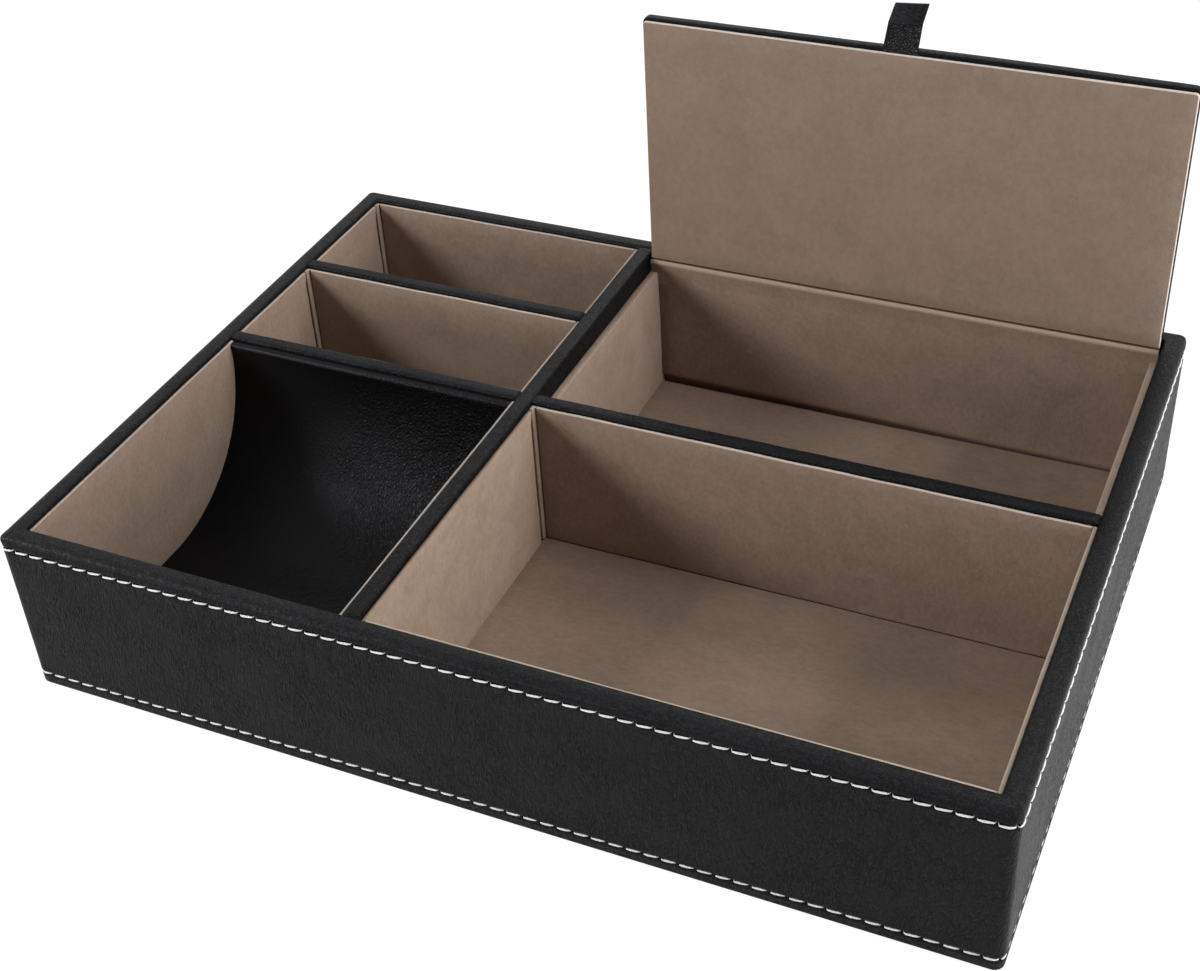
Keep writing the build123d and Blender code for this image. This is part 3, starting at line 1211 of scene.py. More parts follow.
    def _settle(self, point: Vector, depth: float, height: float) -> Vector:
        """Put a vertex of a ring on the section, with the thread's grooves and the skin's unevenness.

        Args:
            point: Vertex of the plain ring.
            depth: Inset of its ring.
            height: Height of its ring.

        Returns:
            Where the vertex goes.
        """
        top = self.wrap.high.z
        out = Vector((*self.outline.outward(point.x, point.y), 0))
        place = Vector((*self.outline.inset(point.x, point.y, depth), height))
        corner = (Vector((abs(point.x), abs(point.y))) - self.wrap.high.xy).length
        along, inwards = self.pinch_reach
        drawn = self.pinch * bell(corner, along) * smooth(height, self.rows[1] + MM, top - 0.6 * MM)
        place += out * drawn * smooth(inwards - depth, 0, inwards)
        if depth < HAIR:
            near = self.holes.find(Vector((point.x, point.y, 0)))[2]
            place += out * (self._pressed(height, near) + self._bulge(place))
        else:
            place.z += self._crown(depth, place) * smooth(height, top - 0.5 * MM, top)
        return place

    def _pressed(self, height: float, hole: float) -> float:
        """How far the thread draws the leather in, at a height and a distance from the nearest hole."""
        wide, high = self.dimple
        between = 1 - bell(hole, self.pucker_reach)
        swelling = self.pucker * (self.pucker_least + (1 - self.pucker_least) * between)
        total = 0.0
        for row in self.rows:
            off = height - row
            total -= self.groove * bell(off, self.groove_width)
            total -= self.pull * bell(off, high) * bell(hole, wide)
            total += swelling * bell(abs(off) - self.pucker_off, self.pucker_width)
        return total

    def _bulge(self, place: Vector) -> float:
        """Unevenness of the outer face, which fades out at its foot and rim."""
        middle = smooth(place.z, self.wrap.low.z, self.rows[0] + 4 * MM)
        middle *= smooth(self.wrap.high.z - place.z, 0, 10 * MM)
        return unevenness(place, 34 * MM, 0.16 * MM) * middle + unevenness(place, 9 * MM, 0.035 * MM)

    def _crown(self, depth: float, place: Vector) -> float:
        """Rise of the rim's top, rounded across and uneven along."""
        across = math.sin(math.pi * clamped(depth / self.wall))
        return across * (0.12 * MM + unevenness(place, 16 * MM, 0.10 * MM))


@dataclass
class StitchRow:
    """Row of white stitches round the box.

    Args:
        outline: Outline that the row follows.
        height: Height of the row.
        pitch: Length from one needle hole to the next.
        radius: Radius of the thread.
        rise: How far a stitch stands out from the outline.
        bow: How much more its middle does.
        plunge: How far its ends go in.
        sinks: Shares of its half length between which it goes in.
        thinned: Share of its thickness that it loses towards its ends.
        flat: Its depth as a share of its height.
        slant: How much one end is higher than the row.
        sag: How much its middle hangs below its ends.
    """

    outline: Outline
    height: float
    pitch: float
    radius: float = 0.36 * MM
    rise: float = 0.06 * MM
    bow: float = 0.10 * MM
    plunge: float = 1.20 * MM
    sinks: Span = (0.79, 1.04)
    thinned: float = 0.55
    flat: float = 0.88
    slant: float = 0.26 * MM
    sag: float = 0.14 * MM

    def build(self, name: str) -> None:
        """Make one stitch, copy it round the outline, and join the copies.

        Args:
            name: Which row it is, bottom or top.
        """
        model = Bench.rod("stitch", self.radius, 1.0, 8)
        model.cut(X, 8)
        model.shape(self._bend)
        runs = self.outline.holes(self.pitch)
        ends = runs[1:] + [runs[0] + self.outline.length]
        copies = [self._copy(model, start, end, i) for i, (start, end) in enumerate(zip(runs, ends))]
        bpy.data.objects.remove(model.obj)
        bpy.ops.object.select_all(action="DESELECT")
        for copy in copies:
            copy.select_set(True)
        bpy.context.view_layer.objects.active = copies[0]
        bpy.ops.object.join()
        row = Bench(copies[0])
        row.obj.name = row.obj.data.name = f"{name}_stitches"
        row.dress(60, THREAD)
        row.seat(Body.BOX, Slot.THREAD, f"{name}_stitching")

    def _bend(self, point: Vector) -> Vector:
        """Bow of a stitch one unit long: thick in its middle, drawn into the leather at its ends."""
        share = abs(point.x) * 2
        thick = 1.0 - self.thinned * smooth(share, 0.25, 1.0)
        out = self.rise + self.bow * (1 - share**2) - self.plunge * smooth(share, *self.sinks)
        up = self.slant * math.sin(math.pi * point.x * 0.92) + self.sag * (share**2 - 0.5)
        stretched = 0.5 * math.copysign(share**0.88, point.x)
        return Vector((stretched, point.y * thick * self.flat + out, point.z * thick + up))

    def _copy(self, model: Bench, start: float, end: float, index: int) -> bpy.types.Object:
        """Lay a copy of the stitch between two needle holes.

        Args:
            model: The stitch to copy.
            start: Run of the first hole.
            end: Run of the second hole.
            index: Number of the stitch, for its own small unevenness.

        Returns:
            The new object.
        """
        copy = model.obj.copy()
        copy.data = model.obj.data.copy()
        bpy.context.scene.collection.objects.link(copy)
        lift = unevenness(Vector((index * 0.7, self.height, 0)), 1.0, 0.10 * MM)
        for vertex in copy.data.vertices:
            x, y, z = vertex.co
            flat, out = self.outline.point(start + (end - start) * (x + 0.5))
            vertex.co = Vector((*(flat + out * y), self.height + z + lift))
        return copy


@dataclass
class Divider:
    """Leather folded over the board of one divider.

    Args:
        name: Name of the divider.
        axis: Axis that it runs along.
        skin: Thickness of the leather.
        edge_radius: Radius of its top edges.
        seam: How far the leather dips where an end meets its neighbour.
        overlap: How far an end runs into its neighbour's rounded edge.
    """

    name: str
    axis: int
    skin: float = 0.8 * MM
    edge_radius: float = 0.95 * MM
    seam: float = 0.45 * MM
    overlap: float = 0.8 * MM

    def build(self) -> None:
        """Fold a block's top and sides over the board."""
        node = f"{self.name}_leather"
        longer = UNITS[self.axis] * self.overlap
        space = Space.of(node).moved(-longer, longer)
        bench = Bench.block(f"{self.name}_cover", space)
        top = space.high.z
        along, high = running(self.axis, 0.1 * MM), beyond(Z, top - MM)
        bench.remove(lambda f: abs(f.normal[self.axis]) > 0.9 or f.normal.z < -0.9)
        bench.bevel(self.edge_radius, 4, lambda e: high(e) and along(e))
        bench.cut(self.axis, max(8, round(space.span(self.axis) / (3 * MM))))
        for end, way in ((space.low, 1), (space.high, -1)):
            steps = (-0.3 * MM, 0.1 * MM, 0.6 * MM)
            bench.slice(self.axis, [end[self.axis] + way * (self.overlap + step) for step in steps])
        bench.slice(Z, [top - 3 * MM, top - 6 * MM, top - 12 * MM])
        bench.shape(lambda p: self._press(p, space))
        bench.thicken(self.skin)
        bench.dress(50, LEATHER)
        bench.seat(Body.BOX, Slot.BLACK_LEATHER, node)

    def _press(self, point: Vector, space: Space) -> Vector:
        """Uneven top, which dips at both ends into a seam."""
        across = 1 - self.axis
        high = smooth(point.z, space.high.z - 5 * MM, space.high.z)
        end = min(point[self.axis] - space.low[self.axis], space.high[self.axis] - point[self.axis])
        dip = self.seam * bell(end - self.overlap, 0.35 * MM)
        middle = space.middle[across]
        half = space.high[across] - middle
        crown = 0.10 * MM * (1 - ((point[across] - middle) / half) ** 2)
        point.z += high * (crown + unevenness(point, 15 * MM, 0.11 * MM) - dip)
        side = math.copysign(1.0, point[across] - middle)
        point[across] += side * high * (unevenness(point + space.low, 11 * MM, 0.09 * MM) - 0.5 * dip)
        return point


class Side(Enum):
    """Sides of a compartment, as the direction out of it."""

    LEFT = (X, -1)
    RIGHT = (X, 1)
    FRONT = (Y, -1)
    BACK = (Y, 1)


class Top(Enum):
    """Looks of a panel's top: its finish, the width of its rounded edges, and the least slope painted."""

    CUT = (CUT_EDGE, 0.40 * MM, 0.9)
    FRAYED = (FRAYED_EDGE, 0.26 * MM, 0.4)
    WRAPPED = (SUEDE, 0.50 * MM, 0.9)
    # Tops in a lighter copy of the suede: painted light.
    BRUSHED = (LIT_LEDGE_SUEDE, 0.50 * MM, 0.4)


@dataclass
class Lining:
    """Suede-covered card round one compartment and on its floor.

    Args:
        name: Name of the compartment.
        sides: Sides that have a panel.
        tops: Looks of the panels' tops, for sides whose pale cut edge doesn't show.
        fold: How far the back panel's end is folded forwards in the back left corner.
        gap: Gap between that fold and the left panel.
        left: Finish of the left panel, by default a darker copy of the suede as painted shade.
        floor_gaps: Gaps beside the floor panel, at the left, right, front and back.
        cove: Height of the hollow at the back panel's foot, at its left and right ends.
        shaded: Shares of the hollow's height between which the painted shade sets in.
        has_floor: Whether the compartment has a floor panel.
        leans: How far the back panel's top leans forwards.
    """

    name: str
    sides: tuple[Side, ...] = (Side.LEFT, Side.RIGHT, Side.FRONT, Side.BACK)
    tops: dict[Side, Top] = field(default_factory=dict)
    fold: float = 1.5 * MM
    gap: float = 1.3 * MM
    left: Finish = SHADED_LEFT_SUEDE
    floor_gaps: tuple[float, float, float, float] = (-0.6 * MM, 0.3 * MM, 0.3 * MM, -0.4 * MM)
    cove: Span = (0.75 * MM, 0.65 * MM)
    shaded: Span = (0.85, 0.45)
    has_floor: bool = True
    leans: float = 0.0

    def __post_init__(self) -> None:
        """Find the height of the floors' suede, and whether the back panel has a folded end."""
        self.ground = Space.of("right_front_floor_liner").high.z
        self.folded = self.fold > 0 and Side.BACK in self.sides

    def build(self) -> None:
        """Make the upright panels and the floor."""
        for side in self.sides:
            self._panel(side)
        if self.has_floor:
            self._floor()

    def _panel(self, side: Side) -> None:
        """Make one upright panel.

        Args:
            side: Side of the compartment that it lines.
        """
        axis = side.value[0]
        word = side.name.lower()
        node = f"{self.name}_{word}_liner"
        space = Space.of(node)
        thick = space.span(axis)
        finish, edge, slope = self.tops.get(side, Top.CUT).value
        has_fold = self.folded and side is Side.BACK
        if self.folded and side is Side.LEFT:
            space = space.moved(high=(0, -(thick + self.fold + self.gap), 0))
        if has_fold:
            space = space.moved(low=(-thick, 0, 0))
        bench = Bench.block(f"{self.name}_{word}_panel", space)
        if has_fold:
            bench.slice(X, [space.low.x + thick])
            corner = space.low.x + thick + 0.1 * MM
            at_end = lambda f: f.normal.y < -0.9 and f.calc_center_median().x < corner
            bench.push((0, -self.fold, 0), at_end, Part.FACES)
        bench.bevel(edge, 2, is_sharp)
        bench.grid(space, 5 * MM, Z)
        bench.grid(space, 6 * MM, 1 - axis)
        if has_fold:
            groove = self._groove(space, thick)
            bench.slice(X, [groove + step * MM for step in (-0.4, -0.2, 0.0, 0.2, 0.4)])
        if side is Side.BACK:
            shares = (0, 0.12, 0.25, 0.4, 0.55, 0.7, 0.85, 1)
            bench.slice(Z, [self.ground + share * self.cove[0] for share in shares])
        bench.shape(lambda p: self._relax(p, space, side))
        top = space.high.z - edge * 1.1
        face = {Side.BACK: self._foot_finish(space), Side.LEFT: self.left}.get(side, SUEDE)
        bench.dress(45, face, (finish, lambda f: f.center.z > top and f.normal.z > slope))
        bench.seat(Body.BOX, Slot.SUEDE, node)

    def _foot_finish(self, space: Space) -> Finish:
        """Suede of the back panel, with painted shade in the hollow at its foot."""
        left, right = self.cove
        slope = (right - left) / space.span(X)
        foot = self.ground - slope * space.low.x
        dim = tuple(foot + share * left for share in self.shaded)
        return BandedSuede(f"{self.name}_back_suede", dim=dim, slope=slope)

    @staticmethod
    def _groove(space: Space, thick: float) -> float:
        """Where the groove beside the folded end runs."""
        return space.low.x + thick + 0.55 * MM

    def _relax(self, point: Vector, space: Space, side: Side) -> Vector:
        """Let a panel's face, top edge and seam wander a little, as glued card does.

        Args:
            point: Vertex of the panel.
            space: Space of the panel.
            side: Side of the compartment that it lines.

        Returns:
            Where the vertex goes.
        """
        axis, way = side.value
        face = space.low[axis] if way > 0 else space.high[axis]
        thick, top = space.span(axis), space.high.z
        high = smooth(point.z, top - 6 * MM, top)
        if self.folded and side is Side.LEFT and point.y > space.high.y - 0.45 * MM:
            close = smooth(point.z, top - 3.5 * MM, top)
            point.y += (self.gap - 0.25 * MM) * close + unevenness(point, 7 * MM, 0.35 * MM)
        if abs(point[axis] - face) < 0.5 * thick:
            if side is Side.BACK:
                height = self._cove_height(point.x, space)
                depth = min(0.5 * thick, 0.2 * MM + 0.35 * height)
                point.y += depth * smooth(self.ground + height - point.z, 0, height)
            point[axis] -= way * unevenness(point, *PANEL_WAVES)
            if self.leans and side is Side.BACK:
                point[axis] -= lean(self.leans, top, point.z)
            if self.folded and side is Side.BACK:
                point.y += 0.45 * thick * bell(point.x - self._groove(space, thick), 0.22 * MM)
        point.z += high * unevenness(point + Vector((0, 0, 0.3)), 13 * MM, 0.16 * MM)
        return point

    def _cove_height(self, x: float, space: Space) -> float:
        """Height of the hollow at the back panel's foot, at a place along it."""
        left, right = self.cove
        return left + (right - left) * space.share(X, x) + unevenness(Vector((x, 0, 0)), 20 * MM, 0.2 * MM)

    def _floor(self) -> None:
        """Make the floor panel, with soft edges and a gap all round."""
        node = f"{self.name}_floor_liner"
        left, right, front, back = self.floor_gaps
        space = Space.of(node).moved((left, front, 0), (-right, -back, 0))
        bench = Bench.block(f"{self.name}_floor_panel", space)
        bench.bevel(0.55 * MM, 3, lambda e: max(v.co.z for v in e.verts) > space.high.z - 0.1 * MM)
        bench.grid(space, 6 * MM, X, Y)
        bench.shape(lambda p: self._lie(p, space))
        bench.dress(45, FLOOR_SUEDE)
        bench.seat(Body.BOX, Slot.FLOOR_SUEDE, node)

    @staticmethod
    def _lie(point: Vector, space: Space) -> Vector:
        """Let the floor's top rise and fall a little."""
        if point.z > space.middle.z:
            point.z += unevenness(point, 30 * MM, 0.14 * MM)
        return point


def lean(most: float, top: float, height: float) -> float:
    """How far the panel below the lid's fold stands forwards at a height.

    Args:
        most: How far its top stands forwards.
        top: Height of its top.
        height: Height to look at.

    Returns:
        The distance.
    """
    return most * smooth(height, top - 22 * MM, top)


@dataclass
class Scoop:
    """Leather over the curved card of the front left well.

    Args:
        skin: Thickness of the leather.
        card: Thickness of the card below it.
        lip: Height of the upright stretch at the top.
        bead: How far the leather is puffed over the card's top edge.
        over_card: How far the leather stands above the card.
        space: Space of the leather.
    """

    skin: float = 0.8 * MM
    card: float = 1.6 * MM
    lip: float = 2.0 * MM
    bead: float = 0.40 * MM
    over_card: float = 0.6 * MM
    space: Space = field(default_factory=lambda: Space.of("scoop_leather"))

    def __post_init__(self) -> None:
        """Work out the curve from the space."""
        low, high = self.space.low, self.space.high
        self.surface = low.z + self.skin
        self.face = high.y - self.skin
        self.top = high.z + self.over_card
        self.centre_z = high.z - self.lip
        self.centre_y = self.face - (self.centre_z - self.surface)

    def build(self) -> None:
        """Spin the floor's back edge into the slope, add the lip, and fold it over the card."""
        low, high = self.space.low, self.space.high
        flat = Space(Vector((low.x, low.y, self.surface)), Vector((high.x, self.centre_y, self.surface)))
        bench = Bench.sheet("scoop_lining", flat)
        bench.cut(Y, 22)
        centre = (0, self.centre_y, self.centre_z)
        with bench.editing():
            bench.pick(Part.EDGES, beyond(Y, self.centre_y - HAIR))
            bpy.ops.mesh.spin(steps=30, angle=-math.pi / 2, center=centre, axis=(1, 0, 0))
        for step in [(0, 0, (self.top - self.centre_z) / 2)] * 2 + [(0, self.skin + self.card, 0)]:
            bench.push(step, self._is_last_edge(bench))
        bench.cut(X, 40)
        bench.outwards()
        self._face_up(bench)
        bench.bevel(1.0 * MM, 4, self._on_fold)
        bench.shape(self._wrinkle)
        bench.thicken(self.over_card - 0.1 * MM)
        bench.dress(50, SCOOP_LEATHER)
        bench.seat(Body.BOX, Slot.SCOOP_LEATHER, "scoop_leather")

    @staticmethod
    def _is_last_edge(bench: Bench) -> Test:
        """Test for the edge that was reached last, which is the farthest back and up."""
        far = max(v.co.y + v.co.z for v in bench.obj.data.vertices) - HAIR
        return lambda e: all(v.co.y + v.co.z > far for v in e.verts)

    @staticmethod
    def _face_up(bench: Bench) -> None:
        """Turn the open sheet so that its floor faces up."""
        floor = min(bench.obj.data.polygons, key=lambda f: f.center.y)
        if floor.normal.z < 0:
            with bench.editing():
                bpy.ops.mesh.select_all(action="SELECT")
                bpy.ops.mesh.flip_normals()

    def _on_fold(self, edge: bmesh.types.BMEdge) -> bool:
        """Say if an edge lies on the fold at the top of the lip."""
        return all(abs(v.co.z - self.top) < HAIR and abs(v.co.y - self.face) < HAIR for v in edge.verts)

    def _wrinkle(self, point: Vector) -> Vector:
        """Slight waves over the slope, and a puffed bead along the top."""
        top = self.top
        point.y -= self.bead * bell(point.z - top + 1.6 * MM, 1.2 * MM)
        slope = smooth(point.z, self.surface + 3 * MM, top - 6 * MM) * smooth(top - point.z, 1 * MM, 8 * MM)
        wave = unevenness(point, 26 * MM, 0.35 * MM)
        wave += unevenness(point + Vector((1, 1, 1)), 9 * MM, 0.12 * MM)
        point.y -= slope * wave
        point.z += unevenness(point, 30 * MM, 0.15 * MM) * (1 - slope)
        return point


@dataclass
class Lid:
    """Lid, drawn standing open: leather cover, suede panel and the suede fold that hinges it.

    Args:
        corner_radius: Radius of the cover's corners.
        edge_radius: Radius of the cover's edges.
        turn_in: Width of the leather turned in behind the suede.
        turned: Thickness of the leather there.
        panel_radius: Radius of the suede panel's upper corners.
        panel_edge: Width of its rounded front edges.
        fold_thickness: Thickness of the hinge's suede.
        fold_bulge: How far the fold stands in front of the suede panel.
        fold_reach: How far the fold goes down in front of the panel below it.
        shoulder: Radius with which it turns in under the lid.
        lean_below: How far the panel below the fold leans forwards at its top.
        clear: How much narrower the lid is at its left than its solid.
        slit: Height of the dark crease between the fold and the lid.
        cover: Space of the leather cover.
        panel: Space of the suede panel.
        ledge: Space of the panel below the fold.
    """

    corner_radius: float = 2.0 * MM
    edge_radius: float = 0.9 * MM
    turn_in: float = 8.0 * MM
    turned: float = 0.6 * MM
    panel_radius: float = 1.2 * MM
    panel_edge: float = 0.34 * MM
    fold_thickness: float = 1.1 * MM
    fold_bulge: float = 0.30 * MM
    fold_reach: float = 5.0 * MM
    shoulder: float = 2.0 * MM
    lean_below: float = 0.9 * MM
    clear: float = 0.45 * MM
    slit: float = 0.3 * MM
    cover: Space = field(default_factory=lambda: Space.of("lid_leather_cover"))
    panel: Space = field(default_factory=lambda: Space.of("lid_suede_panel"))
    ledge: Space = field(default_factory=lambda: Space.of("right_back_back_liner"))

    def build(self) -> None:
        """Make the three pieces of the lid."""
        self._cover()
        self._suede()
        self._fold()

    def _cover(self) -> None:
        """Leather over the back and the edges, turned in round the front."""
        space = self.cover.moved(low=(self.clear, 0, 0))
        bench = Bench.block("lid_cover", space)
        with bench.editing():
            bench.pick(Part.FACES, lambda f: f.normal.y < -0.9)
            bpy.ops.mesh.inset(thickness=self.turn_in, use_boundary=True)
            bpy.ops.mesh.delete(type="FACE")
        bench.bevel(self.corner_radius, 4, running(Y, MM))
        bench.bevel(self.edge_radius, 3, beyond(Y, space.high.y - HAIR))
        front = short_of(Y, space.low.y + HAIR)
        bench.bevel(self.turned * 0.7, 2, lambda e: front(e) and len(e.link_faces) == 2 and is_sharp(e))
        bench.slice(X, space.places(X, 6 * MM))
        bench.slice(Z, space.places(Z, 6 * MM) + [space.high.z - step * MM for step in (0.8, 1.2, 1.6)])
        bench.shape(lambda p: self._puff(p, space))
        bench.thicken(self.turned)
        bench.dress(50, LEATHER)
        bench.seat(Body.LID, Slot.BLACK_LEATHER, "lid_leather_cover")

    @staticmethod
    def _puff(point: Vector, space: Space) -> Vector:
        """Uneven back face and edges of the cover."""
        if point.y > space.middle.y:
            point.y += unevenness(point, 28 * MM, 0.12 * MM) - 0.06 * MM
        else:
            point.y += 0.10 * MM * bell(point.z - space.high.z + 1.2 * MM, 0.35 * MM)
        if point.z > space.high.z - 2 * MM:
            across = space.share(X, point.x)
            point.z += unevenness(point, 16 * MM, 0.10 * MM) + 0.45 * MM * math.sin(math.pi * across**1.6)
        return point

    def _suede(self) -> None:
        """Suede panel on the inside, with its cut edges showing."""
        space = self.panel.moved(low=(self.clear, 0, 0))
        bench = Bench.block("lid_lining", space)
        through, high = running(Y, 0.1 * MM), space.high.z - MM
        bench.bevel(self.panel_radius, 3, lambda e: through(e) and e.verts[0].co.z > high)
        bench.bevel(self.panel_edge, 2, short_of(Y, space.low.y + HAIR))
        bench.grid(space, 6 * MM, X, Z)
        bench.shape(lambda p: self._warp(p, space))
        foot = space.low.z + MM

        def is_cut(face: bpy.types.MeshPolygon) -> bool:
            """Say if a face shows the cut edge, which has no rounding at the left."""
            most = 0.3 if face.normal.x < -0.3 else 0.95
            return abs(face.normal.y) < most and face.center.z > foot

        bench.dress(40, LID_SUEDE, (LID_EDGE, is_cut))
        bench.seat(Body.LID, Slot.LID_SUEDE, "lid_suede_panel")

    @staticmethod
    def _warp(point: Vector, space: Space) -> Vector:
        """Slight unevenness of the panel's face."""
        if point.y < space.middle.y:
            point.y += unevenness(point, 36 * MM, 0.16 * MM)
        return point

    def _fold(self) -> None:
        """Suede that runs from the back panel's face, out over a soft roll, to under the lid."""
        low, high = self.ledge.high.z - self.fold_reach, self.panel.low.z + 0.5 * MM
        space = Space(
            Vector((self.panel.low.x, 0, low)),
            Vector((self.panel.high.x, self.fold_thickness, high)),
        )
        bench = Bench.block("hinge_fold", space)
        bench.cut(Z, 30)
        bench.cut(X, 60)
        bench.shape(lambda p: self._roll(p, space))
        # Painted highlight along the roll, and painted shade in the crease just under the lid's edge.
        edge = self.panel.low.z
        pale, dim = (edge - 3.0 * MM, edge - 1.2 * MM), (edge - 1.0 * MM, edge - 0.75 * MM)
        bench.dress(60, BandedSuede("rolled_suede", pale=pale, dim=dim))
        axis_y = self.cover.middle.y
        start, end = Vector((0, axis_y, self.ledge.high.z)), Vector((0, axis_y, self.panel.low.z))
        bench.hinge(Body.BOX, Body.LID, start, end, Slot.SUEDE, "lid_hinge_strip")

    def _roll(self, point: Vector, space: Space) -> Vector:
        """Place a point of the fold: flush with the back panel, bulged, then tucked under the lid."""
        face, lid, top = self.ledge.low.y, self.panel.low.y, self.ledge.high.z
        below = Vector((point.x, face, min(point.z, top)))
        leaning = face - unevenness(below, *PANEL_WAVES) - lean(self.lean_below, top, point.z)
        above = smooth(point.z, top - 3 * MM, space.high.z - 2.5 * MM)
        out = leaning - 0.05 * MM + (lid - leaning) * above
        bulge_top = point.z - self.panel.low.z + self.shoulder
        out -= self.fold_bulge * bell(bulge_top, 1.6 * MM)
        turned = clamped((bulge_top + self.slit) / self.shoulder)
        out += self.shoulder * (1 - math.sqrt(1 - turned * turned))
        out += unevenness(Vector((point.x, 0, 0)), 20 * MM, 0.12 * MM) * above
        return Vector((point.x, out + point.y, point.z))


@dataclass
class PullTab:
    """Folded leather strip at the lid's free edge, kinked back and leaning to the right.

    Args:
        width: Width of the strip.
        kink: Height of the kink above the pivot.
        angle: How far the strip leans back above the kink.
        lean: How far its top is moved to the right.
        rooted: How far the strip goes down between the lid's board and suede.
        shorter: How much shorter the soft strip is than its solid.
        taper: Share of its width that it loses towards its top.
        set_left: How far the strip is sewn in to the left of its solid.
        seam: Depth of the groove between its two layers, along both edges.
        dent: How far the kink is pressed in.
        pleat: Height of the small pleats at the kink.
        cup: How far its edges stand back.
        skew: How much lower its top is at the left than at the right.
        thickness: Thickness of the folded strip.
        flex: Reach below and above the pivot, handed to the hinge step, which does not use it.
        space: Space of the tab.
        lid: Space of the lid's cover.
    """

    width: float = 11.6 * MM
    kink: float = 8.4 * MM
    angle: float = 15.0
    lean: float = 2.3 * MM
    rooted: float = 2.4 * MM
    shorter: float = 2.1 * MM
    taper: float = 0.03
    set_left: float = 0.8 * MM
    seam: float = 0.22 * MM
    dent: float = 0.25 * MM
    pleat: float = 0.14 * MM
    cup: float = 0.12 * MM
    skew: float = 1.0 * MM
    thickness: float = 1.2 * MM
    flex: Span = (0.9 * MM, 1.1 * MM)
    space: Space = field(default_factory=lambda: Space.of("pull_tab"))
    lid: Space = field(default_factory=lambda: Space.of("lid_leather_cover"))

    def __post_init__(self) -> None:
        """Find the pivot of the tab's joint."""
        joint = next(joint for joint in frame["joints"] if joint["name"] == "tab_flex")
        self.pivot = Vector(joint["pos_m"])

    def build(self) -> None:
        """Make the strip upright, then bend it and let it lean."""
        x, y, z = self.pivot
        wide, thick = self.width / 2, self.thickness / 2
        low = Vector((x - wide, y - thick, self.lid.high.z - self.rooted))
        high = Vector((x + wide, y + thick, self.space.high.z - self.shorter))
        space = Space(low, high)
        bench = Bench.block("folded_tab", space)
        bench.slice(Y, [space.middle.y])
        bench.bevel(0.28 * MM, 2, is_sharp)
        bench.cut(Z, 24)
        bench.cut(X, 8)
        bench.shape(lambda p: self._fold(p, space))
        bench.dress(50, TAB_LEATHER, (TAB_TOP_LEATHER, lambda f: f.center.z > z + self.kink))
        start, end = Vector((x, y, z - self.flex[0])), Vector((x, y, z + self.flex[1]))
        bench.hinge(Body.LID, Body.TAB, start, end, Slot.TAB_LEATHER, "pull_tab")

    def _fold(self, point: Vector, space: Space) -> Vector:
        """Bend, lean and crease the strip.

        Args:
            point: Vertex of the upright strip.
            space: Space of the upright strip.

        Returns:
            Where the vertex goes.
        """
        above = point.z - self.pivot.z
        beyond_kink = above - self.kink
        past = max(0.0, beyond_kink)
        off = point.y - space.middle.y
        side = (point.x - space.middle.x) / (self.width / 2)
        edge = bell(1 - abs(side), 0.14)
        groove = bell(off, 0.16 * MM) * edge
        point.x -= math.copysign(self.seam * groove, side)
        point.y += off * (-0.25 * edge + 0.10 * bell(beyond_kink, 1.2 * MM))
        point.y -= self.dent * bell(beyond_kink, 0.9 * MM)
        turn = math.tan(math.radians(self.angle))
        point.y += turn * past * smooth(above, self.kink - MM, self.kink + 2 * MM)
        total = self.space.high.z - self.pivot.z
        point.x += self.lean * max(0.0, above) / total + 0.08 * past - self.set_left
        point.x -= side * self.width / 2 * self.taper * smooth(above, 0, total)
        point.z += 0.30 * MM * side * smooth(above, 0, self.kink) * smooth(total - above, 0, 0.5 * total)
        point.z += 0.5 * (side - 1) * self.skew * smooth(above, self.kink, total)
        pleats = math.sin(point.x / (0.45 * MM))
        point.y -= self.pleat * pleats * bell(beyond_kink + 0.6 * MM, 0.7 * MM)
        point.y += self.cup * side * side * smooth(above, 0, 3 * MM)
        return point


@dataclass
class Sole:
    """Felt under the base.

    Args:
        corner_radius: Radius of its corners.
        edge: Width of its rounded edge.
    """

    corner_radius: float = 5.0 * MM
    edge: float = 0.2 * MM

    def build(self) -> None:
        """Round the corners and edges of a sheet of felt, and press it a little uneven."""
        space = Space.of("base_felt")
        bench = Bench.block("felt_sole", space)
        bench.bevel(self.corner_radius, 6, running(Z, 0.1 * MM))
        bench.bevel(self.edge, 2, short_of(Z, space.low.z + HAIR))
        bench.grid(space, 12 * MM, X, Y)
        bench.shape(lambda p: self._press(p, space))
        bench.dress(50, FELT)
        bench.seat(Body.BOX, Slot.FELT, "base_felt")

    @staticmethod
    def _press(point: Vector, space: Space) -> Vector:
        """Lift the underside here and there by a hair."""
        if point.z < space.middle.z:
            point.z += abs(unevenness(point, 25 * MM, 0.08 * MM))
        return point


@dataclass
class Carcass:
    """Boards and card inside the box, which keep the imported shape.

    Args:
        finish: Finish of the boards.
    """

    finish: Finish = BOARD

    def build(self) -> None:
        """Give each board that is still shown its material."""
        for name, obj in frame["nodes"].items():
            if obj.hide_render:
                continue
            obj.data.materials.clear()
            obj.data.materials.append(self.finish.material())
            log.info("%s: keeps its packed shape", name)


